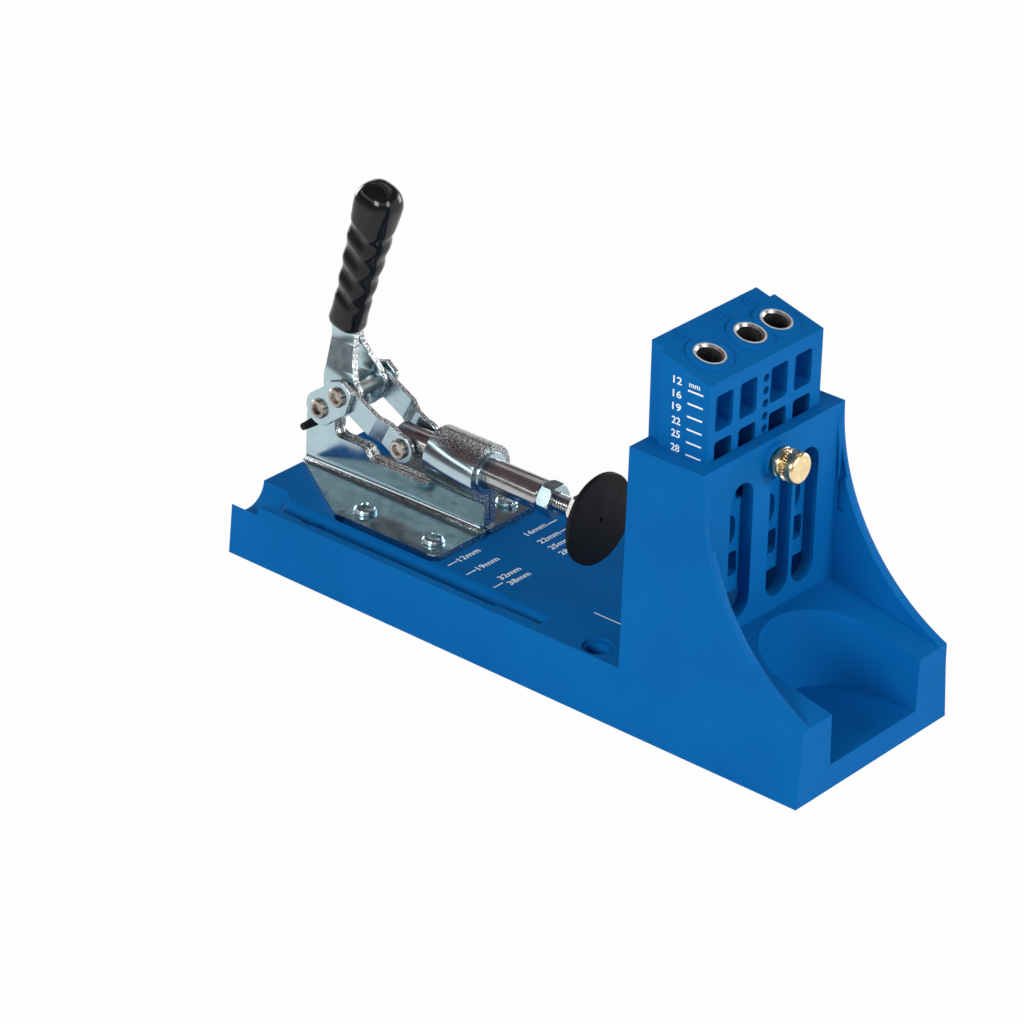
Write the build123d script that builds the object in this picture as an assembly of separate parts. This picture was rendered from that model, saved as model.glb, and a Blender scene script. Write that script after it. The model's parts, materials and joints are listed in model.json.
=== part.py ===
from build123d import *
import math
import os

# Pocket hole jig with a sliding guide block and a push-pull toggle clamp.
# All lengths are in millimetres. X runs from the clamp end to the chip pocket,
# Y from the front to the rear, Z up from the face that stands on the bench.

os.makedirs("parts", exist_ok=True)

# Clearances
SLIDE_GAP = 0.3
RUNNING_GAP = 0.06
SEAT_GAP = 0.03
SHEET_GAP = 0.25
LAYER_GAP = 0.2

# Base body
BASE_LENGTH = 290.0
BASE_WIDTH = 92.8
DECK_Z = 25.0
SIDE_DRAFT_DECK = 4.7
SIDE_DRAFT_TOWER = 1.25
END_DRAFT = 0.4
CORNER_R = 1.5
DECK_THICK = 3.5
BASE_WALL = 3.5
RIB_THICK = 2.5
CELL_COLUMNS = 10
CELL_ROWS = 3
FRONT_ROW_TOP_Z = 12.0
POCKET_FLOOR_THICK = 3.5

# Tower, wings and chip pocket
TOWER_TOP_Z = 118.0
TOWER_WALL = 5.2
BLOCK_PROUD = 0.6
WING_THICK = 4.0
WING_ARC_R = 91.0
WING_ARC_DROP = 3.0
LAND_Z = 44.0
SLOT_WIDTH = 13.5
SLOT_BOTTOM_Z = 49.5
SLOT_DROP = 12.0
WING_GROOVE_SETBACK = 1.2
WING_GROOVE_WIDTH = 3.0
WING_GROOVE_DEPTH = 1.2
WING_GROOVE_Z = 73.0
POCKET_FLOOR_Z = 10.6
POCKET_TOP_R = 27.5
POCKET_FLOOR_R = 26.5
POCKET_SETBACK = 49.0
POCKET_FLOOR_SHIFT = 4.0

# Drill groove and collar trough along the front rim
GROOVE_INSET = 10.6
GROOVE_R = 4.8
GROOVE_SETBACK = 17.0
GROOVE_LENGTH = 120.0
GROOVE_TIP_LENGTH = 22.0
GROOVE_TIP_R = 3.3
TROUGH_R = 9.7
TROUGH_Z = 25.5
TROUGH_LENGTH = 14.0
TROUGH_RUNOUT = 5.0

# Bench holes
BENCH_HOLE_R = 2.75
BENCH_HOLE_LEFT_SETBACK = 38.0
BENCH_HOLE_RIGHT_SETBACK = 103.7
BENCH_HOLE_INSET = 9.4
BENCH_BOSS_R = 6.4
BENCH_SINK_R = 4.6
BENCH_SINK_DEPTH = 10.0
BENCH_DISH_R = 6.2
BENCH_DISH_DEPTH = 1.2

# Guide block
BLOCK_SETBACK = 88.0
BLOCK_DEPTH = 30.0
BLOCK_WIDTH = 67.0
BLOCK_BOTTOM_Z = 57.5
BLOCK_FRONT_TOP_Z = 149.2
RABBET_X = 6.5
RABBET_Y = 2.8
BLOCK_BAR = 7.0
WINDOW_TOP_Z = 143.5
WINDOW_BAR_TOP_Z = 129.0
WINDOW_BAR_Z = 125.0
LOWER_WINDOW_END_Z = 96.0
UPPER_WINDOW_DEPTH = 7.0
LOWER_WINDOW_DEPTH = 12.0
WINDOW_SPANS = ((-29.7, -19.5), (-15.5, -5.4), (2.5, 12.8), (16.9, 27.3))
WINDOW_CORNER_R = 1.5
CHIP_MOUTH_WIDTH = 10.6
CHIP_MOUTH_TOP_Z = 74.5
CHIP_EYE_Z = 84.5
CHIP_EYE_HALF_WIDTH = 3.8
CHIP_EYE_HALF_HEIGHT = 6.1

# Scale of the sliding block
SCALE_PITCH = 5.24
STEPS_DOWN = 5
STEPS_UP = 3
DETENT_R = 1.65
DETENT_DEPTH = 4.0
DETENT_Y = 0.0

# Drill bushings
DRILL_TILT = 15.0
BUSHING_CENTRES_Y = (-18.5, 5.2, 20.8)
BUSHING_NAMES = ("drill_bushing_a", "drill_bushing_b", "drill_bushing_c")
BUSHING_SETBACK = 17.4
BUSHING_R = 6.4
BUSHING_BORE_R = 4.8
BUSHING_LENGTH = 40.0
BUSHING_CHAMFER = 0.8
BUSHING_COLLAR_R = 9.2
BUSHING_COLLAR_H = 0.6
CHIP_BORE_R = 5.2

# Lock knob
KNOB_Y = 0.0
KNOB_DROP = 8.7
KNOB_BOSS_R = 6.8
KNOB_BOSS_H = 1.8
INSERT_R = 4.5
KNOB_SHANK_R = 3.0
KNOB_NECK_R = 4.6
KNOB_FLANGE_R = 5.9
KNOB_HEAD_R = 6.3
KNOB_NECK_LENGTH = 1.0
KNOB_FLANGE_LENGTH = 3.0
KNOB_WAIST_LENGTH = 0.8
KNOB_HEAD_LENGTH = 5.8
KNOB_CHAMFER = 0.4

# Toggle clamp pivots in the plane of the clamp
CLAMP_AXIS_Z = 53.7
FRAME_PIVOT_SETBACK = 20.4
FRAME_PIVOT_Z = 60.3
LINK_PIVOT_REACH = 9.8
LINK_PIVOT_RISE = 8.3
PLUNGER_PIVOT_REACH = 38.6
RIVET_R = 3.0
RIVET_HEAD_R = 4.1
RIVET_HEAD_H = 1.6
RIVET_RIM = 0.5
RIVET_DISH_R = 2.4
RIVET_DISH_DEPTH = 1.3

# Clamp bracket
BRACKET_SHEET = 3.0
FLANGE_HALF_WIDTH = 31.0
FLANGE_FRONT_REACH = 77.8
FLANGE_REAR_REACH = 17.4
FLANGE_SHOULDER_REACH = 23.6
FLANGE_REAR_HALF_WIDTH = 5.6
FLANGE_CORNER_R = 4.5
FLANGE_BEND_R = 3.0
WEB_FRONT_SETBACK = 1.2
WEB_DIP_Z = 38.5
WEB_DIP_REACH = 17.6
WEB_DIP_LENGTH = 30.0
WEB_DIP_RAMP = 4.0
WEB_SILL_Z = 43.0
WEB_CORNER_R = 3.0
UPRIGHT_FRONT_OFFSET = 2.1
UPRIGHT_REAR_TOP_Z = 49.0
UPRIGHT_LOBE_R = 7.8
BARREL_REACH = 53.0
BARREL_LENGTH = 25.6
BARREL_R = 11.75
SLEEVE_OVERHANG = 1.0
BRACKET_SCREW_REACHES = (32.1, 68.6)
BRACKET_SCREW_Y = 22.0

# Bracket screws and nuts
SCREW_R = 2.5
SCREW_HOLE_R = 2.8
SCREW_HEAD_R = 4.7
SCREW_HEAD_H = 3.2
SCREW_LENGTH = 22.0
SCREW_BOSS_R = 6.0
SCREW_BOSS_Z = 11.0
NUT_POCKET_R = 8.0
NUT_FLATS = 8.0
NUT_H = 4.0

# Stop bumper
BUMPER_REAR_REACH = 13.4
BUMPER_Z = 45.7
BUMPER_R = 1.95
BUMPER_TIP_R = 1.5
BUMPER_REACH = 6.8

# Handle fork, ears and links
HANDLE_SHEET = 2.8
FORK_INNER_Y = 6.2
FORK_SPLAY_Z = 74.6
FORK_CLOSE_Z = 88.5
FORK_BEND_R = 12.0
FORK_HALF_WIDTH = 6.3
FORK_FRAME_LOBE_R = 7.0
FORK_LINK_LOBE_R = 6.6
LINK_SHEET = 2.5
LINK_WIDTH = 10.8
LINK_EYE_R = 6.3
LINK_JOGGLE_START = 18.0
LINK_JOGGLE_END = 23.5
EAR_SHEET = 2.5
EAR_LOBE_R = 7.4
HANDLE_SPACER_R = 4.0
PIVOT_SPACER_R = 5.0

# Grip
GRIP_BOTTOM_OFFSET = 1.6
GRIP_BOTTOM_Z = 94.0
GRIP_LEAN = 16.4
GRIP_LENGTH = 69.0
GRIP_BOTTOM_R = 7.7
GRIP_TOP_R = 9.7
GRIP_WAVES = 4
GRIP_WAVE_DEPTH = 0.8
GRIP_WAVE_START = 9.5
GRIP_WAVE_PITCH = 10.4
GRIP_CORE_LENGTH = 54.0
GRIP_TIP_STEPS = (20, 40, 58, 74)

# Plunger, spindle and pad
PLUNGER_R = 6.5
PLUNGER_REACH = 69.0
PLUNGER_TAIL = 7.0
PLUNGER_CHAMFER = 0.8
PLUNGER_BORE_LENGTH = 41.0
SPINDLE_R = 4.0
SPINDLE_REACH_IN = 34.0
JAM_NUT_H = 6.0
JAM_NUT_FLATS = 13.0
PAD_R = 19.0
PAD_REACH = 27.8
PAD_THICK = 2.3
PAD_EDGE = 0.4
PAD_HUB_R = 9.0
PAD_HUB_H = 3.6
PAD_JOURNAL_R = 3.0
PAD_JOURNAL_LENGTH = 4.6
PAD_NUT_H = 6.0
PAD_NUT_FLATS = 13.0
PAD_DIMPLE_R = 0.9
PAD_DIMPLE_DEPTH = 0.6

# Places worked out from the sizes above
HALF_LENGTH = BASE_LENGTH / 2
HALF_WIDTH = BASE_WIDTH / 2
DECK_HALF_WIDTH = HALF_WIDTH - DECK_Z * math.tan(math.radians(SIDE_DRAFT_DECK))
TOWER_RISE = TOWER_TOP_Z - DECK_Z
TOWER_HALF_WIDTH = DECK_HALF_WIDTH - TOWER_RISE * math.tan(math.radians(SIDE_DRAFT_TOWER))
SLOT_TOP_Z = TOWER_TOP_Z - SLOT_DROP
WING_ARC_TOP_Z = TOWER_TOP_Z - WING_ARC_DROP
POCKET_TOP_BACK_X = HALF_LENGTH - POCKET_SETBACK
POCKET_FLOOR_BACK_X = POCKET_TOP_BACK_X + POCKET_FLOOR_SHIFT
GROOVE_Y = GROOVE_INSET - HALF_WIDTH
GROOVE_START_X = GROOVE_SETBACK - HALF_LENGTH
GROOVE_STEP_X = GROOVE_START_X + GROOVE_LENGTH
GROOVE_END_X = GROOVE_STEP_X + GROOVE_TIP_LENGTH
TROUGH_END_X = TROUGH_LENGTH - HALF_LENGTH
BENCH_HOLE_LEFT_X = BENCH_HOLE_LEFT_SETBACK - HALF_LENGTH
BENCH_HOLE_RIGHT_X = HALF_LENGTH - BENCH_HOLE_RIGHT_SETBACK
BENCH_HOLE_Y = HALF_WIDTH - BENCH_HOLE_INSET
BLOCK_BACK_X = HALF_LENGTH - BLOCK_SETBACK
BLOCK_FRONT_X = BLOCK_BACK_X + BLOCK_DEPTH
BLOCK_TOP_RISE = BLOCK_DEPTH * math.tan(math.radians(DRILL_TILT))
TOWER_BACK_X = BLOCK_BACK_X + BLOCK_PROUD
WALL_INNER_X = BLOCK_FRONT_X + SLIDE_GAP
WALL_OUTER_X = WALL_INNER_X + TOWER_WALL
BUSHING_TOP_X = BLOCK_BACK_X + BUSHING_SETBACK
BUSHING_TOP_Z = BLOCK_FRONT_TOP_Z + (BLOCK_FRONT_X - BUSHING_TOP_X) * math.tan(math.radians(DRILL_TILT))
DRILL_DIRECTION = Vector(math.sin(math.radians(DRILL_TILT)), 0, math.cos(math.radians(DRILL_TILT)))
KNOB_Z = TOWER_TOP_Z - KNOB_DROP
FRAME_PIVOT_X = FRAME_PIVOT_SETBACK - HALF_LENGTH
LINK_PIVOT_X = FRAME_PIVOT_X + LINK_PIVOT_REACH
LINK_PIVOT_Z = FRAME_PIVOT_Z + LINK_PIVOT_RISE
PLUNGER_PIVOT_X = FRAME_PIVOT_X + PLUNGER_PIVOT_REACH
PLUNGER_FRONT_X = PLUNGER_PIVOT_X + PLUNGER_REACH
PAD_FACE_X = PLUNGER_FRONT_X + PAD_REACH
FLANGE_FRONT_X = FRAME_PIVOT_X + FLANGE_FRONT_REACH
FLANGE_REAR_X = FRAME_PIVOT_X - FLANGE_REAR_REACH
FLANGE_SHOULDER_X = FRAME_PIVOT_X + FLANGE_SHOULDER_REACH
WEB_FRONT_X = FLANGE_FRONT_X - WEB_FRONT_SETBACK
WEB_DIP_START_X = FRAME_PIVOT_X + WEB_DIP_REACH
WEB_DIP_END_X = WEB_DIP_START_X + WEB_DIP_LENGTH
UPRIGHT_FRONT_X = FRAME_PIVOT_X - UPRIGHT_FRONT_OFFSET
BARREL_REAR_X = FRAME_PIVOT_X + BARREL_REACH
BRACKET_SCREW_XS = [FRAME_PIVOT_X + reach for reach in BRACKET_SCREW_REACHES]
BUMPER_X = FRAME_PIVOT_X - BUMPER_REAR_REACH
GRIP_BOTTOM_X = FRAME_PIVOT_X + GRIP_BOTTOM_OFFSET
SHEET_OUTER_Y = SHEET_GAP + BRACKET_SHEET
FORK_OUTER_Y = FORK_INNER_Y + HANDLE_SHEET
LINK_REAR_Y = FORK_OUTER_Y + LAYER_GAP
LINK_FRONT_Y = PLUNGER_R + LAYER_GAP
EAR_Y = LINK_REAR_Y + LINK_SHEET + LAYER_GAP
EAR_OUTER_Y = EAR_Y + EAR_SHEET
SLEEVE_R = BARREL_R - BRACKET_SHEET - SEAT_GAP
FLANGE_TOP_Z = DECK_Z + BRACKET_SHEET
PAD_HUB_BACK_X = PAD_FACE_X - PAD_THICK - PAD_HUB_H
PAD_NUT_FRONT_X = PAD_HUB_BACK_X - SLIDE_GAP
LINK_RUN_X = PLUNGER_PIVOT_X - LINK_PIVOT_X
LINK_DROP = LINK_PIVOT_Z - CLAMP_AXIS_Z
LINK_LENGTH = math.hypot(LINK_RUN_X, LINK_DROP)
LINK_SLOPE = math.degrees(math.atan2(LINK_DROP, LINK_RUN_X))


def outline(points):
    """Closed polygon kept at its own coordinates, always counterclockwise."""
    pairs = zip(points, points[1:] + points[:1])
    area = sum(a[0] * b[1] - b[0] * a[1] for a, b in pairs)
    ordered = points if area > 0 else points[::-1]
    return Polygon(*ordered, align=None)


def prism_x(face, start, end):
    """Solid from a Y-Z face between two X values."""
    return extrude(Plane.YZ.offset(start) * face, amount=end - start, dir=(1, 0, 0))


def prism_y(face, start, end):
    """Solid from an X-Z face between two Y values."""
    return extrude(Plane.XZ.offset(-start) * face, amount=end - start, dir=(0, 1, 0))


def prism_z(face, start, end):
    """Solid from an X-Y face between two Z values."""
    return extrude(Plane.XY.offset(start) * face, amount=end - start, dir=(0, 0, 1))


def rod_x(radius, start, end, y, z):
    return prism_x(Pos(y, z) * Circle(radius), start, end)


def rod_y(radius, start, end, x, z):
    return prism_y(Pos(x, z) * Circle(radius), start, end)


def rod_z(radius, start, end, x, y):
    return prism_z(Pos(x, y) * Circle(radius), start, end)


def block_between(x0, x1, y0, y1, z0, z1):
    """Box between six coordinates."""
    centre = Pos((x0 + x1) / 2, (y0 + y1) / 2, (z0 + z1) / 2)
    return centre * Box(x1 - x0, y1 - y0, z1 - z0)


def mirrored(solid):
    """The same solid on the other side of the middle plane."""
    return mirror(solid, about=Plane.XZ)


def land_z(x):
    """Height of the sloping land between the wings."""
    slope = (LAND_Z - wing_end_z()) / (HALF_LENGTH - WALL_OUTER_X)
    return LAND_Z - slope * (x - WALL_OUTER_X)


def wing_z(x):
    """Height of the wing's curved edge."""
    reach = WALL_OUTER_X + WING_ARC_R - x
    return WING_ARC_TOP_Z - math.sqrt(WING_ARC_R ** 2 - reach ** 2)


def wing_end_z():
    return wing_z(HALF_LENGTH)


def half_width_at(z):
    """Half of the outer width of the body at a height."""
    if z <= DECK_Z:
        return HALF_WIDTH - z * math.tan(math.radians(SIDE_DRAFT_DECK))
    return DECK_HALF_WIDTH - (z - DECK_Z) * math.tan(math.radians(SIDE_DRAFT_TOWER))


def base_envelope():
    """Outer form: the side view of deck, tower and wings inside the drafted cross section."""
    arc_mid_x = (WALL_OUTER_X + HALF_LENGTH) / 2 - WING_ARC_R / 8
    left_top = (-HALF_LENGTH + END_DRAFT, DECK_Z)
    right_end = (HALF_LENGTH, wing_end_z())
    arc_start = (WALL_OUTER_X, WING_ARC_TOP_Z)
    side = make_face(
        Polyline(
            arc_start,
            (WALL_OUTER_X, TOWER_TOP_Z),
            (TOWER_BACK_X, TOWER_TOP_Z),
            (TOWER_BACK_X, DECK_Z),
            left_top,
            (-HALF_LENGTH, 0),
            (HALF_LENGTH, 0),
            right_end,
        )
        + ThreePointArc(right_end, (arc_mid_x, wing_z(arc_mid_x)), arc_start)
    )
    section = outline(
        [
            (-HALF_WIDTH, 0),
            (HALF_WIDTH, 0),
            (DECK_HALF_WIDTH, DECK_Z),
            (TOWER_HALF_WIDTH, TOWER_TOP_Z),
            (-TOWER_HALF_WIDTH, TOWER_TOP_Z),
            (-DECK_HALF_WIDTH, DECK_Z),
        ]
    )
    return prism_y(side, -BASE_WIDTH, BASE_WIDTH) & prism_x(section, -HALF_LENGTH, HALF_LENGTH)


def wing_bay():
    """Open space between the two wings, above the sloping land."""
    end_x = HALF_LENGTH + BASE_WALL
    top_z = TOWER_TOP_Z + BASE_WALL
    side = outline(
        [
            (WALL_OUTER_X, LAND_Z),
            (end_x, land_z(end_x)),
            (end_x, top_z),
            (WALL_OUTER_X, top_z),
        ]
    )
    low = half_width_at(DECK_Z) - WING_THICK
    high = half_width_at(top_z) - WING_THICK
    section = outline([(-low, DECK_Z), (low, DECK_Z), (high, top_z), (-high, top_z)])
    return prism_y(side, -low, low) & prism_x(section, WALL_OUTER_X, end_x)


def pocket_outline(back_x, radius):
    """Plan of the chip pocket: a half circle that runs out through the end face."""
    centre_x = back_x + radius
    end_x = HALF_LENGTH + 2 * BASE_WALL
    run = end_x - centre_x
    return Pos(centre_x, 0) * Circle(radius) + Pos(centre_x + run / 2, 0) * Rectangle(run, 2 * radius)


def chip_pocket():
    """Drafted chip pocket between its floor and the height of the land."""
    floor = Plane.XY.offset(POCKET_FLOOR_Z) * pocket_outline(POCKET_FLOOR_BACK_X, POCKET_FLOOR_R)
    top = Plane.XY.offset(LAND_Z) * pocket_outline(POCKET_TOP_BACK_X, POCKET_TOP_R)
    return loft(Sketch() + [floor, top], ruled=True)


def block_plan(gap):
    """Plan of the guide block, with its two rabbets, grown by a gap."""
    front_x = BLOCK_FRONT_X + gap
    shoulder_x = BLOCK_BACK_X + RABBET_X - gap
    back_x = BLOCK_BACK_X - (0 if gap == 0 else BLOCK_PROUD + gap)
    wide = BLOCK_WIDTH / 2 + gap
    narrow = BLOCK_WIDTH / 2 - RABBET_Y + gap
    main = Pos((shoulder_x + front_x) / 2, 0) * Rectangle(front_x - shoulder_x, 2 * wide)
    tongue = Pos((back_x + front_x) / 2, 0) * Rectangle(front_x - back_x, 2 * narrow)
    return main + tongue


def chip_slots():
    """Three obround slots through the tower wall, in line with the bushings."""
    length = SLOT_TOP_Z - SLOT_BOTTOM_Z
    middle = (SLOT_TOP_Z + SLOT_BOTTOM_Z) / 2
    slots = []
    for y in BUSHING_CENTRES_Y:
        face = Pos(y, middle) * Rot(0, 0, 90) * SlotOverall(length, SLOT_WIDTH)
        slots.append(prism_x(face, WALL_INNER_X - SLIDE_GAP, WALL_OUTER_X + SLIDE_GAP))
    return slots


def drill_groove():
    """Half-round groove with a stepped tip, and the wider trough for a collar."""
    wide = rod_x(GROOVE_R, GROOVE_START_X, GROOVE_STEP_X, GROOVE_Y, DECK_Z)
    tip = rod_x(GROOVE_TIP_R, GROOVE_STEP_X, GROOVE_END_X, GROOVE_Y, DECK_Z)
    trough = rod_x(TROUGH_R, -HALF_LENGTH - CORNER_R, TROUGH_END_X, GROOVE_Y, TROUGH_Z)
    runout = Pos(TROUGH_END_X, GROOVE_Y, TROUGH_Z) * Rot(0, 90, 0) * Cone(
        TROUGH_R, GROOVE_R, TROUGH_RUNOUT, align=(Align.CENTER, Align.CENTER, Align.MIN)
    )
    return [wide, tip, trough, runout]


def cell_top_z(row, x_end):
    """Ceiling of an underside cell, below whatever lies above it."""
    if x_end > POCKET_TOP_BACK_X - BASE_WALL:
        return POCKET_FLOOR_Z - POCKET_FLOOR_THICK
    if row == 0 and x_end < BENCH_HOLE_RIGHT_X:
        return FRONT_ROW_TOP_Z
    return DECK_Z - DECK_THICK


def underside_cells():
    """Ribbed underside: a grid of open cells."""
    inner_length = BASE_LENGTH - 2 * BASE_WALL
    inner_width = BASE_WIDTH - 2 * (BASE_WALL + HALF_WIDTH - DECK_HALF_WIDTH)
    cell_x = (inner_length - (CELL_COLUMNS - 1) * RIB_THICK) / CELL_COLUMNS
    cell_y = (inner_width - (CELL_ROWS - 1) * RIB_THICK) / CELL_ROWS
    cells = []
    for column in range(CELL_COLUMNS):
        x0 = -inner_length / 2 + column * (cell_x + RIB_THICK)
        for row in range(CELL_ROWS):
            y0 = -inner_width / 2 + row * (cell_y + RIB_THICK)
            top = cell_top_z(row, x0 + cell_x)
            cells.append(block_between(x0, x0 + cell_x, y0, y0 + cell_y, -1, top))
    return cells


def bench_hole_places():
    columns = (BENCH_HOLE_LEFT_X, BENCH_HOLE_RIGHT_X)
    return [(x, y) for x in columns for y in (-BENCH_HOLE_Y, BENCH_HOLE_Y)]


def bracket_screw_places():
    return [(x, y) for x in BRACKET_SCREW_XS for y in (-BRACKET_SCREW_Y, BRACKET_SCREW_Y)]


def bench_sinks():
    """Sinks for the bench screws' heads, with a shallow dish round the two near the tower."""
    sinks = []
    for x, y in bench_hole_places():
        sinks.append(rod_z(BENCH_SINK_R, DECK_Z - BENCH_SINK_DEPTH, DECK_Z + 1, x, y))
        if x == BENCH_HOLE_RIGHT_X:
            sinks.append(rod_z(BENCH_DISH_R, DECK_Z - BENCH_DISH_DEPTH, DECK_Z + 1, x, y))
    return sinks


def wing_grooves():
    """Short vertical groove in each wing beside the slotted wall."""
    inner = half_width_at(WING_GROOVE_Z) - WING_THICK
    start = WALL_OUTER_X + WING_GROOVE_SETBACK
    end = start + WING_GROOVE_WIDTH
    low_y = inner - WING_THICK / 2
    high_y = inner + WING_GROOVE_DEPTH
    groove = block_between(start, end, low_y, high_y, WING_GROOVE_Z, TOWER_TOP_Z)
    return [groove, mirrored(groove)]


def base_body():
    """One moulded body: ribbed deck, slotted tower, wings and chip pocket."""
    body = base_envelope()
    body -= wing_bay()
    body -= chip_pocket()
    body -= prism_z(block_plan(SLIDE_GAP), DECK_Z, TOWER_TOP_Z + 1)
    for slot in chip_slots():
        body -= slot
    for cell in underside_cells():
        body -= cell
    ceiling = DECK_Z - DECK_THICK / 2
    for x, y in bench_hole_places():
        body += rod_z(BENCH_BOSS_R, 0, ceiling, x, y)
    for x, y in bracket_screw_places():
        body += rod_z(SCREW_BOSS_R, SCREW_BOSS_Z, ceiling, x, y)
        body -= rod_z(NUT_POCKET_R, -1, SCREW_BOSS_Z, x, y)
    body += rod_x(KNOB_BOSS_R, WALL_INNER_X + 1, WALL_OUTER_X + KNOB_BOSS_H, KNOB_Y, KNOB_Z)
    for cutter in drill_groove() + bench_sinks() + wing_grooves():
        body -= cutter
    for x, y in bench_hole_places():
        body -= rod_z(BENCH_HOLE_R, -1, DECK_Z + 1, x, y)
    for x, y in bracket_screw_places():
        body -= rod_z(SCREW_HOLE_R, SCREW_BOSS_Z - 1, DECK_Z + 1, x, y)
    body -= rod_x(INSERT_R + SEAT_GAP, WALL_INNER_X - 1, WALL_OUTER_X + KNOB_BOSS_H + 1, KNOB_Y, KNOB_Z)
    return body


def knob_insert():
    """Brass threaded insert in the tower wall."""
    end = WALL_OUTER_X + KNOB_BOSS_H
    sleeve = rod_x(INSERT_R, WALL_INNER_X, end, KNOB_Y, KNOB_Z)
    return sleeve - rod_x(KNOB_SHANK_R + RUNNING_GAP, WALL_INNER_X - 1, end + 1, KNOB_Y, KNOB_Z)


def lock_knob():
    """Brass thumb screw: tip, shank, flange, waist and knurled head."""
    seat = WALL_OUTER_X + KNOB_BOSS_H + SLIDE_GAP
    neck_end = seat + KNOB_NECK_LENGTH
    flange_end = neck_end + KNOB_FLANGE_LENGTH
    waist_end = flange_end + KNOB_WAIST_LENGTH
    head_end = waist_end + KNOB_HEAD_LENGTH
    knob = rod_x(KNOB_SHANK_R, BLOCK_FRONT_X + SLIDE_GAP, seat, KNOB_Y, KNOB_Z)
    knob += rod_x(KNOB_NECK_R, seat, neck_end, KNOB_Y, KNOB_Z)
    knob += rod_x(KNOB_FLANGE_R, neck_end, flange_end, KNOB_Y, KNOB_Z)
    knob += rod_x(KNOB_NECK_R, flange_end, waist_end, KNOB_Y, KNOB_Z)
    head = rod_x(KNOB_HEAD_R, waist_end, head_end, KNOB_Y, KNOB_Z)
    return knob + chamfer(head.edges().filter_by(GeomType.CIRCLE), KNOB_CHAMFER)


def block_top_cut():
    """Everything above the tilted top of the guide block."""
    run = BLOCK_DEPTH + 2 * BLOCK_PROUD
    rise = run * math.tan(math.radians(DRILL_TILT))
    x0 = BLOCK_FRONT_X + BLOCK_PROUD
    z0 = BLOCK_FRONT_TOP_Z - BLOCK_PROUD * math.tan(math.radians(DRILL_TILT))
    face = outline([(x0, z0), (x0, z0 + run), (x0 - run, z0 + rise + run), (x0 - run, z0 + rise)])
    return prism_y(face, -BLOCK_WIDTH, BLOCK_WIDTH)


def drill_rod(radius, y, start, end):
    """Rod along the drilling axis, measured down from the tilted top."""
    top = Vector(BUSHING_TOP_X, y, BUSHING_TOP_Z)
    origin = top - DRILL_DIRECTION * end
    plane = Plane(origin=origin, x_dir=(0, 1, 0), z_dir=DRILL_DIRECTION)
    return extrude(plane * Circle(radius), amount=end - start)


def block_window(y0, y1, z0, z1, depth):
    """Core-out in the face of the block that looks at the slotted wall."""
    face = Pos((y0 + y1) / 2, (z0 + z1) / 2) * RectangleRounded(y1 - y0, z1 - z0, WINDOW_CORNER_R)
    return prism_x(face, BLOCK_FRONT_X - depth, BLOCK_FRONT_X + 1)


def guide_block():
    """Sliding block: tilted top, bushing seats, windows, chip mouths and detent holes."""
    top = BLOCK_FRONT_TOP_Z + BLOCK_TOP_RISE + 1
    body = prism_z(block_plan(0), BLOCK_BOTTOM_Z, top) - block_top_cut()
    for y in BUSHING_CENTRES_Y:
        body += drill_rod(BUSHING_COLLAR_R, y, -BUSHING_COLLAR_H, 1)
    for y0, y1 in WINDOW_SPANS:
        body -= block_window(y0, y1, WINDOW_BAR_TOP_Z, WINDOW_TOP_Z, UPPER_WINDOW_DEPTH)
        body -= block_window(y0, y1, LOWER_WINDOW_END_Z, WINDOW_BAR_Z, LOWER_WINDOW_DEPTH)
    mouth_low = BLOCK_BOTTOM_Z + BLOCK_BAR
    for y in BUSHING_CENTRES_Y:
        half = CHIP_MOUTH_WIDTH / 2
        body -= block_window(y - half, y + half, mouth_low, CHIP_MOUTH_TOP_Z, BLOCK_DEPTH / 2)
        eye = Pos(y, CHIP_EYE_Z) * Ellipse(CHIP_EYE_HALF_WIDTH, CHIP_EYE_HALF_HEIGHT)
        body -= prism_x(eye, BLOCK_FRONT_X - BLOCK_DEPTH / 2, BLOCK_FRONT_X + 1)
        body -= drill_rod(CHIP_BORE_R, y, BUSHING_LENGTH - 1, 4 * BLOCK_DEPTH)
        body -= drill_rod(BUSHING_R + SEAT_GAP, y, -BUSHING_COLLAR_H - 1, BUSHING_LENGTH + SEAT_GAP)
    for step in range(-STEPS_UP, STEPS_DOWN + 2):
        z = KNOB_Z + step * SCALE_PITCH
        body -= rod_x(DETENT_R, BLOCK_FRONT_X - DETENT_DEPTH, BLOCK_FRONT_X + 1, DETENT_Y, z)
    return body


def drill_bushing(y):
    """Steel guide bushing with a lead-in chamfer."""
    tube = drill_rod(BUSHING_R, y, -BUSHING_COLLAR_H, BUSHING_LENGTH)
    tube -= drill_rod(BUSHING_BORE_R, y, -BUSHING_COLLAR_H - 1, BUSHING_LENGTH + 1)
    mouth = Vector(BUSHING_TOP_X, y, BUSHING_TOP_Z) + DRILL_DIRECTION * BUSHING_COLLAR_H
    rim = tube.edges().filter_by(GeomType.CIRCLE).sort_by_distance(mouth)
    inner = [edge for edge in rim if abs(edge.radius - BUSHING_BORE_R) < 0.01][0]
    return chamfer(inner, BUSHING_CHAMFER)


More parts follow.
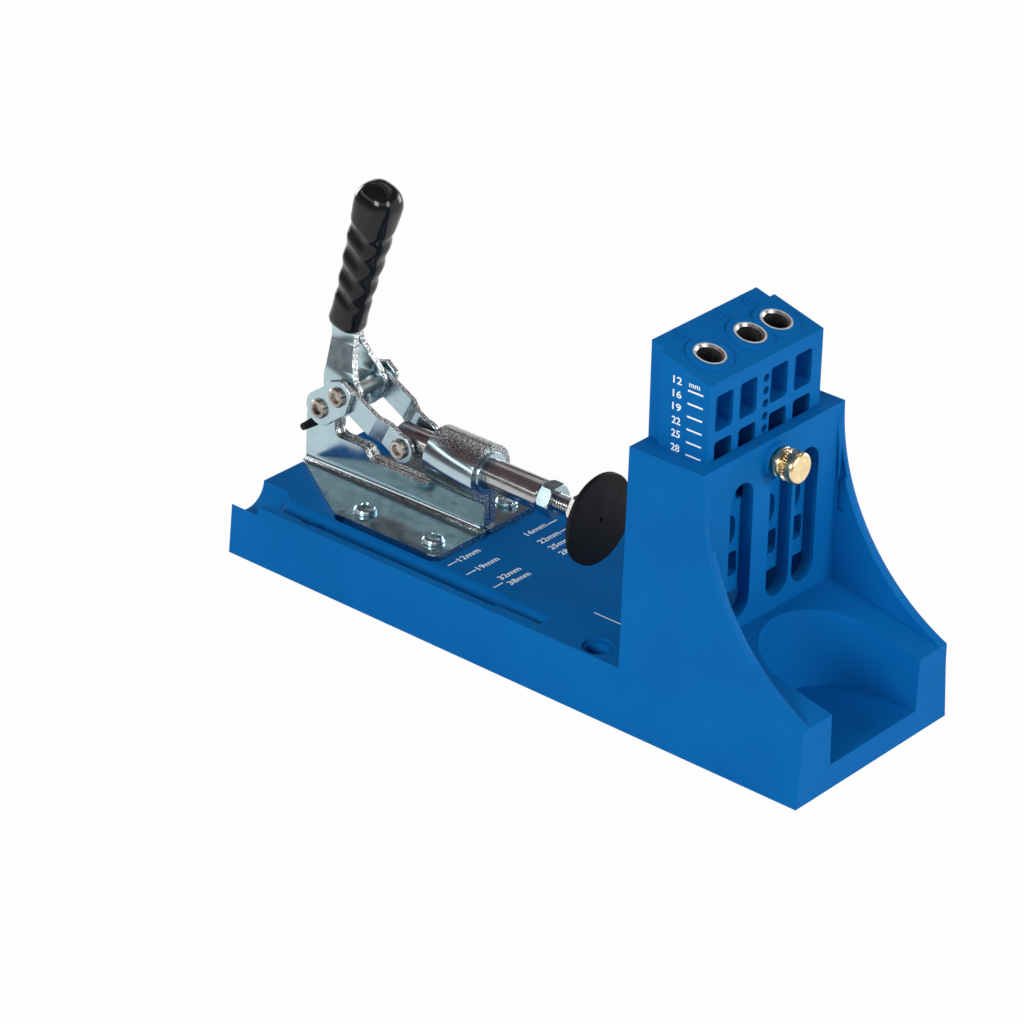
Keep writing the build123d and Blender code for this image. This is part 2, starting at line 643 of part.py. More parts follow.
def bracket_web():
    """Upright sheet: rear upright with its pivot lobe, the dip and the part under the barrel."""
    low = outline(
        [
            (FLANGE_REAR_X - 1, DECK_Z),
            (WEB_FRONT_X, DECK_Z),
            (WEB_FRONT_X, CLAMP_AXIS_Z - BARREL_R + BRACKET_SHEET / 2),
            (BARREL_REAR_X, CLAMP_AXIS_Z - BARREL_R + BRACKET_SHEET / 2),
            (WEB_DIP_END_X, WEB_DIP_Z),
            (WEB_DIP_START_X, WEB_DIP_Z),
            (WEB_DIP_START_X - WEB_DIP_RAMP, WEB_SILL_Z),
            (UPRIGHT_FRONT_X, WEB_SILL_Z),
            (UPRIGHT_FRONT_X, FRAME_PIVOT_Z - UPRIGHT_LOBE_R),
            (FRAME_PIVOT_X - UPRIGHT_LOBE_R, FRAME_PIVOT_Z),
            (FLANGE_REAR_X, UPRIGHT_REAR_TOP_Z),
        ]
    )
    inner = [v for v in low.vertices() if UPRIGHT_FRONT_X - 1 < v.X < BARREL_REAR_X - 1]
    low = fillet([v for v in inner if DECK_Z + 1 < v.Y < WEB_SILL_Z + 1], WEB_CORNER_R)
    lobe = Pos(FRAME_PIVOT_X, FRAME_PIVOT_Z) * Circle(UPRIGHT_LOBE_R)
    return prism_y(low, SHEET_GAP, SHEET_OUTER_Y) + prism_y(lobe, SHEET_GAP, SHEET_OUTER_Y)


def bracket_flange():
    """Foot of one bracket half, with its long diagonal rear edge."""
    corners = outline(
        [
            (FLANGE_FRONT_X, SHEET_GAP),
            (FLANGE_FRONT_X, FLANGE_HALF_WIDTH),
            (FLANGE_SHOULDER_X, FLANGE_HALF_WIDTH),
            (FLANGE_REAR_X, FLANGE_REAR_HALF_WIDTH),
            (FLANGE_REAR_X, SHEET_GAP),
        ]
    )
    outer = corners.vertices().group_by(Axis.Y)[-1]
    return prism_z(fillet(outer, FLANGE_CORNER_R), DECK_Z, FLANGE_TOP_Z)


def bend_fill():
    """Inside radius of the bend between flange and web."""
    y = SHEET_OUTER_Y
    z = FLANGE_TOP_Z
    square = Pos(y + FLANGE_BEND_R / 2, z + FLANGE_BEND_R / 2) * Rectangle(FLANGE_BEND_R, FLANGE_BEND_R)
    face = square - Pos(y + FLANGE_BEND_R, z + FLANGE_BEND_R) * Circle(FLANGE_BEND_R)
    return prism_x(face, FLANGE_REAR_X, WEB_FRONT_X)


def bend_relief():
    """Corner that the outside radius of the bend leaves open."""
    radius = FLANGE_BEND_R + BRACKET_SHEET / 2
    square = Pos(SHEET_GAP + radius / 2, DECK_Z + radius / 2) * Rectangle(radius, radius)
    face = square - Pos(SHEET_GAP + radius, DECK_Z + radius) * Circle(radius)
    return prism_x(face, FLANGE_REAR_X - 2, FLANGE_FRONT_X + 2)


def barrel_wrap():
    """Half wrap of the bracket sheet round the barrel, run into the web by a soft curve."""
    ring = Pos(0, CLAMP_AXIS_Z) * (Circle(BARREL_R) - Circle(BARREL_R - BRACKET_SHEET))
    stem_top = CLAMP_AXIS_Z - BARREL_R + BRACKET_SHEET / 2
    stem_low = FLANGE_TOP_Z + FLANGE_BEND_R
    stem_middle = Pos(SHEET_GAP + BRACKET_SHEET / 2, (stem_low + stem_top) / 2)
    stem = stem_middle * Rectangle(BRACKET_SHEET, stem_top - stem_low)
    half = Pos(SHEET_GAP + BARREL_R, CLAMP_AXIS_Z) * Rectangle(2 * BARREL_R, 4 * BARREL_R)
    face = (ring & half) + stem
    neck = [v for v in face.vertices() if abs(v.X - SHEET_OUTER_Y) < 0.01 and v.Y > stem_low + 1]
    face = fillet(neck, BRACKET_SHEET)
    return prism_x(face, BARREL_REAR_X, BARREL_REAR_X + BARREL_LENGTH)


def bracket_half():
    """One bent half of the clamp bracket, on the rear side of the middle plane."""
    half = bracket_web() + bracket_flange() + bend_fill() - bend_relief() + barrel_wrap()
    for x in BRACKET_SCREW_XS:
        half -= rod_z(SCREW_HOLE_R, DECK_Z - 1, FLANGE_TOP_Z + 1, x, BRACKET_SCREW_Y)
    half -= rod_y(RIVET_R + RUNNING_GAP, 0, SHEET_OUTER_Y + 1, FRAME_PIVOT_X, FRAME_PIVOT_Z)
    half -= rod_y(BUMPER_R + SEAT_GAP, 0, SHEET_OUTER_Y + 1, BUMPER_X, BUMPER_Z)
    return half


def barrel_sleeve():
    """Steel tube in which the plunger slides."""
    start = BARREL_REAR_X + SLIDE_GAP
    end = BARREL_REAR_X + BARREL_LENGTH + SLEEVE_OVERHANG
    tube = rod_x(SLEEVE_R, start, end, 0, CLAMP_AXIS_Z)
    return tube - rod_x(PLUNGER_R + RUNNING_GAP, start - 1, end + 1, 0, CLAMP_AXIS_Z)


def bracket_screws():
    """Four pan-head screws."""
    screws = []
    for x, y in bracket_screw_places():
        shank = rod_z(SCREW_R, FLANGE_TOP_Z - SCREW_LENGTH, FLANGE_TOP_Z, x, y)
        head = rod_z(SCREW_HEAD_R, FLANGE_TOP_Z, FLANGE_TOP_Z + SCREW_HEAD_H, x, y)
        rim = head.edges().filter_by(GeomType.CIRCLE).sort_by(Axis.Z)[-1]
        screws.append(shank + chamfer(rim, SCREW_HEAD_H / 2))
    return screws


def hexagon(flats):
    return RegularPolygon(flats / 2, 6, major_radius=False)


def bracket_nuts():
    """Four nuts against the bosses under the deck."""
    nuts = []
    for x, y in bracket_screw_places():
        nut = prism_z(Pos(x, y) * hexagon(NUT_FLATS), SCREW_BOSS_Z - NUT_H, SCREW_BOSS_Z)
        nuts.append(nut - rod_z(SCREW_R + SEAT_GAP, 0, DECK_Z, x, y))
    return nuts


def stop_bumper():
    """Rubber cross pin with tapered ends, held in both uprights."""
    core = rod_y(BUMPER_R, -SHEET_OUTER_Y, SHEET_OUTER_Y, BUMPER_X, BUMPER_Z)
    place = Pos(BUMPER_X, SHEET_OUTER_Y, BUMPER_Z) * Rot(-90, 0, 0)
    upward = (Align.CENTER, Align.CENTER, Align.MIN)
    tip = place * Cone(BUMPER_R, BUMPER_TIP_R, BUMPER_REACH, align=upward)
    return core + tip + mirrored(tip)


def rivet_head(x, z, face_y):
    """Dished head of a tubular rivet on an outer face."""
    head = rod_y(RIVET_HEAD_R, face_y, face_y + RIVET_HEAD_H, x, z)
    rim = head.edges().filter_by(GeomType.CIRCLE).sort_by(Axis.Y)[-1]
    head = chamfer(rim, RIVET_RIM)
    outer = face_y + RIVET_HEAD_H
    return head - rod_y(RIVET_DISH_R, outer - RIVET_DISH_DEPTH, outer + 1, x, z)


def frame_pivot_rivet():
    """Rivet through the uprights, the fork and the ears."""
    head = rivet_head(FRAME_PIVOT_X, FRAME_PIVOT_Z, EAR_OUTER_Y)
    shank = rod_y(RIVET_R, -EAR_OUTER_Y, EAR_OUTER_Y, FRAME_PIVOT_X, FRAME_PIVOT_Z)
    return shank + head + mirrored(head)


def link_pivot_rivet():
    """Rivet through the fork, and its two outer ends in the ears."""
    shank = rod_y(RIVET_R, -FORK_OUTER_Y, FORK_OUTER_Y, LINK_PIVOT_X, LINK_PIVOT_Z)
    stub = rod_y(RIVET_R, EAR_Y, EAR_OUTER_Y, LINK_PIVOT_X, LINK_PIVOT_Z)
    stub += rivet_head(LINK_PIVOT_X, LINK_PIVOT_Z, EAR_OUTER_Y)
    return [shank, stub, mirrored(stub)]


def plunger_rivet():
    """Rivet through the plunger and both links."""
    face_y = LINK_FRONT_Y + LINK_SHEET + LAYER_GAP
    head = rivet_head(PLUNGER_PIVOT_X, CLAMP_AXIS_Z, face_y)
    shank = rod_y(RIVET_R, -face_y, face_y, PLUNGER_PIVOT_X, CLAMP_AXIS_Z)
    return shank + head + mirrored(head)


def tube_y(outer, inner, start, end, x, z):
    return rod_y(outer, start, end, x, z) - rod_y(inner, start - 1, end + 1, x, z)


def pivot_spacers():
    """Two collars that centre the fork on the uprights."""
    start = SHEET_OUTER_Y + LAYER_GAP / 2
    end = FORK_INNER_Y - SEAT_GAP
    collar = tube_y(PIVOT_SPACER_R, RIVET_R + SEAT_GAP, start, end, FRAME_PIVOT_X, FRAME_PIVOT_Z)
    return [collar, mirrored(collar)]


def handle_spacer():
    """Tube that keeps the fork plates apart at the link pivot."""
    reach = FORK_INNER_Y - SEAT_GAP
    return tube_y(HANDLE_SPACER_R, RIVET_R + SEAT_GAP, -reach, reach, LINK_PIVOT_X, LINK_PIVOT_Z)


def grip_point(along, across):
    """Point in the plane of the clamp, along and across the grip's axis."""
    lean = math.radians(GRIP_LEAN)
    x = GRIP_BOTTOM_X + along * math.sin(lean) + across * math.cos(lean)
    z = GRIP_BOTTOM_Z + along * math.cos(lean) - across * math.sin(lean)
    return (x, z)


def fork_outline():
    """Side view of a fork plate: two pivot lobes, the arm and the tang in the grip."""
    arm = outline(
        [
            (FRAME_PIVOT_X - FORK_FRAME_LOBE_R / 2, FRAME_PIVOT_Z),
            (FRAME_PIVOT_X - FORK_FRAME_LOBE_R / 3, FORK_SPLAY_Z + 3),
            grip_point(0, -FORK_HALF_WIDTH),
            grip_point(GRIP_CORE_LENGTH, -FORK_HALF_WIDTH),
            grip_point(GRIP_CORE_LENGTH, FORK_HALF_WIDTH),
            grip_point(0, FORK_HALF_WIDTH),
            (LINK_PIVOT_X + 0.4, FORK_SPLAY_Z + 7),
            (LINK_PIVOT_X + FORK_LINK_LOBE_R - 1.5, LINK_PIVOT_Z + FORK_LINK_LOBE_R / 2),
            (LINK_PIVOT_X + FORK_LINK_LOBE_R / 2, LINK_PIVOT_Z - FORK_LINK_LOBE_R / 2),
        ]
    )
    frame_lobe = Pos(FRAME_PIVOT_X, FRAME_PIVOT_Z) * Circle(FORK_FRAME_LOBE_R)
    link_lobe = Pos(LINK_PIVOT_X, LINK_PIVOT_Z) * Circle(FORK_LINK_LOBE_R)
    return arm + frame_lobe + link_lobe


def fork_section():
    """End view of a fork plate: apart at the pivots, together in the grip."""
    tang_y = SHEET_GAP / 2
    low = FRAME_PIVOT_Z - 2 * FORK_FRAME_LOBE_R
    high = GRIP_BOTTOM_Z + GRIP_LENGTH
    lean = (FORK_INNER_Y - tang_y) / (FORK_CLOSE_Z - FORK_SPLAY_Z)
    shift = HANDLE_SHEET * math.tan(math.atan(lean) / 2)
    inner = [(FORK_INNER_Y, low), (FORK_INNER_Y, FORK_SPLAY_Z), (tang_y, FORK_CLOSE_Z), (tang_y, high)]
    outer = [
        (tang_y + HANDLE_SHEET, high),
        (tang_y + HANDLE_SHEET, FORK_CLOSE_Z + shift),
        (FORK_OUTER_Y, FORK_SPLAY_Z + shift),
        (FORK_OUTER_Y, low),
    ]
    face = outline(inner + outer)
    bends = [v for v in face.vertices() if FORK_SPLAY_Z - 1 < v.Y < FORK_CLOSE_Z + 2 * shift]
    return fillet(bends, FORK_BEND_R)


def handle_plate():
    """One S-bent plate of the handle fork, on the rear side."""
    side = prism_y(fork_outline(), -1, FORK_OUTER_Y + 1)
    start = FRAME_PIVOT_X - 4 * FORK_FRAME_LOBE_R
    end = LINK_PIVOT_X + 4 * FORK_LINK_LOBE_R
    plate = side & prism_x(fork_section(), start, end)
    for x, z in ((FRAME_PIVOT_X, FRAME_PIVOT_Z), (LINK_PIVOT_X, LINK_PIVOT_Z)):
        plate -= rod_y(RIVET_R + SEAT_GAP, FORK_INNER_Y - 1, FORK_OUTER_Y + 1, x, z)
    return plate


def ear_plate():
    """Outer cheek plate over the two rear pivots, on the rear side."""
    blade = outline(
        [
            (FRAME_PIVOT_X - 3.0, FRAME_PIVOT_Z + EAR_LOBE_R - 1.0),
            (LINK_PIVOT_X - 4.8, LINK_PIVOT_Z + 5.4),
            (LINK_PIVOT_X + 2.1, LINK_PIVOT_Z + 7.4),
            (LINK_PIVOT_X + 7.6, LINK_PIVOT_Z + 3.4),
            (LINK_PIVOT_X + 4.0, LINK_PIVOT_Z - 6.9),
            (FRAME_PIVOT_X + 3.0, FRAME_PIVOT_Z - EAR_LOBE_R + 0.9),
        ]
    )
    blade = fillet(blade.vertices().group_by(Axis.X)[-1], 1.5)
    face = blade + Pos(FRAME_PIVOT_X, FRAME_PIVOT_Z) * Circle(EAR_LOBE_R)
    ear = prism_y(face, EAR_Y, EAR_OUTER_Y)
    for x, z in ((FRAME_PIVOT_X, FRAME_PIVOT_Z), (LINK_PIVOT_X, LINK_PIVOT_Z)):
        ear -= rod_y(RIVET_R + SEAT_GAP, EAR_Y - 1, EAR_OUTER_Y + 1, x, z)
    return ear


def link_strip():
    """Joggled link along its own axis from the link pivot, on the rear side."""
    start = -2 * LINK_EYE_R
    end = LINK_LENGTH + 2 * LINK_EYE_R
    plan = outline(
        [
            (start, LINK_REAR_Y),
            (LINK_JOGGLE_START, LINK_REAR_Y),
            (LINK_JOGGLE_END, LINK_FRONT_Y),
            (end, LINK_FRONT_Y),
            (end, LINK_FRONT_Y + LINK_SHEET),
            (LINK_JOGGLE_END + 0.5, LINK_FRONT_Y + LINK_SHEET),
            (LINK_JOGGLE_START + 0.5, LINK_REAR_Y + LINK_SHEET),
            (start, LINK_REAR_Y + LINK_SHEET),
        ]
    )
    side = Pos(LINK_LENGTH / 2, 0) * Rectangle(LINK_LENGTH, LINK_WIDTH)
    side += Circle(LINK_WIDTH / 2)
    side += Pos(LINK_LENGTH, 0) * Circle(LINK_EYE_R)
    strip = prism_z(plan, -2 * LINK_WIDTH, 2 * LINK_WIDTH) & prism_y(side, 0, 2 * EAR_Y)
    for u in (0, LINK_LENGTH):
        strip -= rod_y(RIVET_R + RUNNING_GAP, 0, 2 * EAR_Y, u, 0)
    return strip


def link():
    """One link between the fork and the plunger."""
    return Pos(LINK_PIVOT_X, 0, LINK_PIVOT_Z) * Rot(0, LINK_SLOPE, 0) * link_strip()


def grip_radius(along):
    """Radius of the grip, swelling towards the tip with a row of finger waves."""
    radius = GRIP_BOTTOM_R + (GRIP_TOP_R - GRIP_BOTTOM_R) * along / GRIP_LENGTH
    phase = (along - GRIP_WAVE_START) / GRIP_WAVE_PITCH
    if 0 < phase < GRIP_WAVES:
        radius += GRIP_WAVE_DEPTH * math.sin(2 * math.pi * phase) / 2
    return radius


def grip_profile():
    """Half of the grip's long section in short straight runs: waved side and rounded tip."""
    barrel_length = GRIP_LENGTH - GRIP_TOP_R
    steps = 4 * GRIP_WAVES - 1
    side = []
    for i in range(steps + 1):
        along = barrel_length * i / steps
        side.append((grip_radius(along), along))
    for degrees in GRIP_TIP_STEPS:
        turn = math.radians(degrees)
        across = grip_radius(barrel_length) * math.cos(turn)
        side.append((across, barrel_length + GRIP_TOP_R * math.sin(turn)))
    side.append((0, GRIP_LENGTH))
    return make_face(Polyline((0, 0), *side, close=True))


def handle_grip():
    """Dipped vinyl grip over the tangs of both fork plates."""
    upright = revolve(Plane.XZ * grip_profile(), Axis.Z)
    grip = Pos(GRIP_BOTTOM_X, 0, GRIP_BOTTOM_Z) * Rot(0, GRIP_LEAN, 0) * upright
    core = GRIP_CORE_LENGTH + SEAT_GAP
    wide = FORK_HALF_WIDTH + SEAT_GAP
    places = ((-1, -wide), (core, -wide), (core, wide), (-1, wide))
    corners = [grip_point(along, across) for along, across in places]
    tang = SHEET_GAP / 2 + HANDLE_SHEET + SEAT_GAP
    return grip - prism_y(outline(corners), -tang, tang)


def plunger():
    """Round push rod, bored for the spindle and cross-drilled for its rivet."""
    start = PLUNGER_PIVOT_X - PLUNGER_TAIL
    rod = rod_x(PLUNGER_R, start, PLUNGER_FRONT_X, 0, CLAMP_AXIS_Z)
    rod = chamfer(rod.edges().filter_by(GeomType.CIRCLE), PLUNGER_CHAMFER)
    bore_start = PLUNGER_FRONT_X - PLUNGER_BORE_LENGTH
    rod -= rod_x(SPINDLE_R + RUNNING_GAP, bore_start, PLUNGER_FRONT_X + 1, 0, CLAMP_AXIS_Z)
    return rod - rod_y(RIVET_R + SEAT_GAP, -2 * PLUNGER_R, 2 * PLUNGER_R, PLUNGER_PIVOT_X, CLAMP_AXIS_Z)


def spindle():
    """Threaded rod with a plain journal for the pad."""
    start = PLUNGER_FRONT_X - SPINDLE_REACH_IN
    rod = rod_x(SPINDLE_R, start, PAD_NUT_FRONT_X, 0, CLAMP_AXIS_Z)
    end = PAD_HUB_BACK_X + PAD_JOURNAL_LENGTH
    return rod + rod_x(PAD_JOURNAL_R, PAD_NUT_FRONT_X, end, 0, CLAMP_AXIS_Z)


def hex_nut_x(flats, start, end, bore_r):
    """Hexagon nut on the clamp axis with chamfered corners."""
    nut = prism_x(Pos(0, CLAMP_AXIS_Z) * hexagon(flats), start, end)
    corner_r = flats / math.sqrt(3)
    cone_r = corner_r - 0.1
    barrel = rod_x(cone_r, start, end, 0, CLAMP_AXIS_Z)
    nut &= chamfer(barrel.edges().filter_by(GeomType.CIRCLE), corner_r - flats / 2, 0.6)
    return nut - rod_x(bore_r, start - 1, end + 1, 0, CLAMP_AXIS_Z)


def jam_nut():
    start = PLUNGER_FRONT_X + SLIDE_GAP
    return hex_nut_x(JAM_NUT_FLATS, start, start + JAM_NUT_H, SPINDLE_R + RUNNING_GAP)


def pad_nut():
    return hex_nut_x(PAD_NUT_FLATS, PAD_NUT_FRONT_X - PAD_NUT_H, PAD_NUT_FRONT_X, SPINDLE_R + SEAT_GAP)


def clamp_pad():
    """Rubber pressure pad: thin disc, hub and a small dimple in its face."""
    disc = rod_x(PAD_R, PAD_FACE_X - PAD_THICK, PAD_FACE_X, 0, CLAMP_AXIS_Z)
    disc = chamfer(disc.edges().filter_by(GeomType.CIRCLE), PAD_EDGE)
    pad = disc + rod_x(PAD_HUB_R, PAD_HUB_BACK_X, PAD_FACE_X - PAD_THICK, 0, CLAMP_AXIS_Z)
    bore_end = PAD_HUB_BACK_X + PAD_JOURNAL_LENGTH + SLIDE_GAP / 2
    pad -= rod_x(PAD_JOURNAL_R + RUNNING_GAP, PAD_HUB_BACK_X - 1, bore_end, 0, CLAMP_AXIS_Z)
    return pad - rod_x(PAD_DIMPLE_R, PAD_FACE_X - PAD_DIMPLE_DEPTH, PAD_FACE_X + 1, 0, CLAMP_AXIS_Z)


def write(name, solids):
    """One STEP file for one named node."""
    pieces = solids if isinstance(solids, list) else [solids]
    bodies = [body for piece in pieces for body in piece.solids()]
    export_step(bodies[0] if len(bodies) == 1 else Compound(bodies), f"parts/{name}.step")


write("base_body", base_body())
write("knob_insert", knob_insert())
write("lock_knob", lock_knob())
write("guide_block", guide_block())
for bushing_name, bushing_y in zip(BUSHING_NAMES, BUSHING_CENTRES_Y):
    write(bushing_name, drill_bushing(bushing_y))
rear_half = bracket_half()
write("bracket_half_rear", rear_half)
write("bracket_half_front", mirrored(rear_half))
write("barrel_sleeve", barrel_sleeve())
write("bracket_screws", bracket_screws())
write("bracket_nuts", bracket_nuts())
write("stop_bumper", stop_bumper())
write("frame_pivot_rivet", frame_pivot_rivet())
write("link_pivot_rivet", link_pivot_rivet())
write("plunger_rivet", plunger_rivet())
write("pivot_spacers", pivot_spacers())
write("handle_spacer", handle_spacer())
rear_plate = handle_plate()
write("handle_plate_rear", rear_plate)
write("handle_plate_front", mirrored(rear_plate))
rear_ear = ear_plate()
write("ear_plate_rear", rear_ear)
write("ear_plate_front", mirrored(rear_ear))
rear_link = link()
write("link_rear", rear_link)
write("link_front", mirrored(rear_link))
write("handle_grip", handle_grip())
write("plunger", plunger())
write("spindle", spindle())
write("jam_nut", jam_nut())
write("pad_nut", pad_nut())
write("clamp_pad", clamp_pad())
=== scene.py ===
import bpy
import json
import math
from mathutils import Matrix, Vector


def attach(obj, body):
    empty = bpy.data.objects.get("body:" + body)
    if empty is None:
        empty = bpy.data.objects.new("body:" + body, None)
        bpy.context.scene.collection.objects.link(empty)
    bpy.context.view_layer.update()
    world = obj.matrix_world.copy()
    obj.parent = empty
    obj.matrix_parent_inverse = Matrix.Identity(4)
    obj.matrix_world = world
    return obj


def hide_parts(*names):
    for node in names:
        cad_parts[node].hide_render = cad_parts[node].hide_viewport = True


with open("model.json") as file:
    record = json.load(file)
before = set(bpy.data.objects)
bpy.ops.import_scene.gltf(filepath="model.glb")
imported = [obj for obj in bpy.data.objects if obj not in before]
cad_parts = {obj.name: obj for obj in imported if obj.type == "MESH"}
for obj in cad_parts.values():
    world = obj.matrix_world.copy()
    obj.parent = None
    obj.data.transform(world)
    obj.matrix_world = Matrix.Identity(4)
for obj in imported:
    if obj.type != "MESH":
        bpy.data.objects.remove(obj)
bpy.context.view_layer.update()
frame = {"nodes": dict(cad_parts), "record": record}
NODES = frame["nodes"]
MM = 0.001
WHITE = (1, 1, 1, 1)


# Node materials

# Blender's noise mostly stays between these two values.
NOISE_LOW = 0.3
NOISE_HIGH = 0.7


def new_material(name):
    material = bpy.data.materials.new(name)
    material.use_nodes = True
    return material, material.node_tree, material.node_tree.nodes["Principled BSDF"]


def add_node(tree, kind, inputs=None, **settings):
    made = tree.nodes.new(kind)
    for key, value in settings.items():
        setattr(made, key, value)
    for key, value in (inputs or {}).items():
        if isinstance(value, bpy.types.NodeSocket):
            tree.links.new(value, made.inputs[key])
        else:
            made.inputs[key].default_value = value
    return made


def combine(tree, operation, first, second):
    return add_node(tree, "ShaderNodeMath", {0: first, 1: second}, operation=operation).outputs[0]


def noise(tree, scale, detail=3.0, stretch=None, roughness=0.5):
    """Noise in the object's own coordinates; scale counts features per metre."""
    place = add_node(tree, "ShaderNodeTexCoord").outputs["Object"]
    if stretch:
        inputs = {"Vector": place, "Scale": stretch}
        place = add_node(tree, "ShaderNodeMapping", inputs).outputs["Vector"]
    inputs = {"Vector": place, "Scale": scale, "Detail": detail, "Roughness": roughness}
    return add_node(tree, "ShaderNodeTexNoise", inputs).outputs["Fac"]


def ramp(tree, factor, stops):
    made = add_node(tree, "ShaderNodeValToRGB", {"Fac": factor})
    elements = made.color_ramp.elements
    elements.remove(elements[1])
    elements[0].position = stops[0][0]
    elements[0].color = (*stops[0][1], 1.0)
    for place, colour in stops[1:]:
        elements.new(place).color = (*colour, 1.0)
    return made.outputs["Color"]


def two_tone(tree, factor, dark, light):
    return ramp(tree, factor, ((NOISE_LOW, dark), (NOISE_HIGH, light)))


def spread(tree, factor, low, high, start=NOISE_LOW, end=NOISE_HIGH):
    """Map a factor between start and end to numbers between low and high."""
    inputs = {"Value": factor, "From Min": start, "From Max": end, "To Min": low, "To Max": high}
    return add_node(tree, "ShaderNodeMapRange", inputs).outputs["Result"]


def mix_colours(tree, factor, first, second):
    mixed = add_node(tree, "ShaderNodeMix", data_type="RGBA")
    sockets = {socket.identifier: socket for socket in mixed.inputs}
    tree.links.new(factor, sockets["Factor_Float"])
    tree.links.new(first, sockets["A_Color"])
    tree.links.new(second, sockets["B_Color"])
    return next(socket for socket in mixed.outputs if socket.identifier == "Result_Color")


def bump(tree, shader, layers):
    """Chain of bumps; each layer is a height, a strength and a depth in millimetres."""
    normal = None
    for height, strength, depth in layers:
        inputs = {"Height": height, "Strength": strength, "Distance": depth * MM}
        if normal:
            inputs["Normal"] = normal
        normal = add_node(tree, "ShaderNodeBump", inputs).outputs["Normal"]
    tree.links.new(normal, shader.inputs["Normal"])


def colour_shader(tree, shader, colour, roughness):
    tree.links.new(colour, shader.inputs["Base Color"])
    tree.links.new(roughness, shader.inputs["Roughness"])


PLASTIC_DARK = (0.0022, 0.122, 0.390)
PLASTIC_LIGHT = (0.0026, 0.140, 0.430)
PLASTIC_SPECULAR = 0.03


def make_plastic():
    material, tree, shader = new_material("blue_plastic")
    colour = two_tone(tree, noise(tree, 28, 2), PLASTIC_DARK, PLASTIC_LIGHT)
    colour_shader(tree, shader, colour, spread(tree, noise(tree, 420, 3), 0.42, 0.56))
    shader.inputs["Specular IOR Level"].default_value = PLASTIC_SPECULAR
    bump(tree, shader, [(noise(tree, 2600, 2), 0.22, 0.05), (noise(tree, 60, 1), 0.2, 0.25)])
    return material


# A normal's size along Y between these two turns from sawn rim to face.
RIM_TO_FACE = (0.55, 0.8)


def cut_edge(tree):
    """1 on the sawn rims of a sheet that lies square to Y, 0 on its two faces."""
    normal = add_node(tree, "ShaderNodeTexCoord").outputs["Normal"]
    across = add_node(tree, "ShaderNodeSeparateXYZ", {"Vector": normal}).outputs["Y"]
    size = add_node(tree, "ShaderNodeMath", {0: across}, operation="ABSOLUTE").outputs[0]
    return spread(tree, size, 1.0, 0.0, *RIM_TO_FACE)


FOOT_MAX_Z = 28.4
FOOT_UPWARD = 0.93
WRAP_MIN_Z = 57.0
WRAP_UPWARD = (0.72, 0.86)


def bracket_rough(tree):
    """1 on the bracket's rims, bends and top of the barrel's wrap, 0 on its flat web and foot."""
    coords = add_node(tree, "ShaderNodeTexCoord").outputs
    place = add_node(tree, "ShaderNodeSeparateXYZ", {"Vector": coords["Object"]}).outputs
    normal = add_node(tree, "ShaderNodeSeparateXYZ", {"Vector": coords["Normal"]}).outputs
    upward = combine(tree, "GREATER_THAN", normal["Z"], FOOT_UPWARD)
    low = combine(tree, "LESS_THAN", place["Z"], FOOT_MAX_Z * MM)
    foot = combine(tree, "MULTIPLY", upward, low)
    high = combine(tree, "GREATER_THAN", place["Z"], WRAP_MIN_Z * MM)
    top = spread(tree, normal["Z"], 0.0, 1.0, *WRAP_UPWARD)
    wrap = combine(tree, "MULTIPLY", high, top)
    rim = combine(tree, "SUBTRACT", cut_edge(tree), foot)
    return combine(tree, "MAXIMUM", wrap, rim)


GRAIN_SPOTS = ((0.36, (0.04, 0.045, 0.05)), (0.5, (0.34, 0.38, 0.39)), (0.6, (0.92, 0.95, 0.95)))
GRAIN_STRENGTH = 0.95
GRAIN_DEPTH = 0.22


def make_zinc(name, dark, light, rough, mottling, rough_places=None):
    """Zinc-plated steel; where rough_places is 1 it's dark, grainy and glittering."""
    material, tree, shader = new_material(name)
    shader.inputs["Metallic"].default_value = 1.0
    colour = two_tone(tree, noise(tree, 110, 3), dark, light)
    gloss = spread(tree, noise(tree, 260, 3), *rough)
    layers = [(noise(tree, 900, 3), mottling, 0.08), (noise(tree, 70, 2), 0.04, 0.3)]
    if rough_places:
        grain = noise(tree, 1500, 4, roughness=0.7)
        places = rough_places(tree)
        colour = mix_colours(tree, places, colour, ramp(tree, grain, GRAIN_SPOTS))
        layers.append((grain, combine(tree, "MULTIPLY", places, GRAIN_STRENGTH), GRAIN_DEPTH))
    colour_shader(tree, shader, colour, gloss)
    bump(tree, shader, layers)
    return material


def make_turned(name, dark, light, rough, stretch):
    """Turned or ground metal with fine marks round or along its axis."""
    material, tree, shader = new_material(name)
    shader.inputs["Metallic"].default_value = 1.0
    marks = noise(tree, 500, 3, stretch=stretch)
    colour = two_tone(tree, marks, dark, light)
    colour_shader(tree, shader, colour, spread(tree, noise(tree, 160, 2), *rough))
    bump(tree, shader, [(marks, 0.12, 0.04)])
    return material


BLACK_SPECULAR = 0.2
COAT_ROUGHNESS = 0.08


def make_black(name, dark, light, rough, grain, coat=0.0):
    """Black rubber or vinyl; grain counts its bumps per metre."""
    material, tree, shader = new_material(name)
    colour = two_tone(tree, noise(tree, 120, 3), dark, light)
    colour_shader(tree, shader, colour, spread(tree, noise(tree, 500, 3), *rough))
    shader.inputs["Specular IOR Level"].default_value = BLACK_SPECULAR
    shader.inputs["Coat Weight"].default_value = coat
    shader.inputs["Coat Roughness"].default_value = COAT_ROUGHNESS
    bump(tree, shader, [(noise(tree, grain, 3), 0.25, 0.06)])
    return material


PRINT_WEAR = ((0.2, (0.76, 0.87, 0.92)), (0.45, (0.90, 0.97, 0.98)))


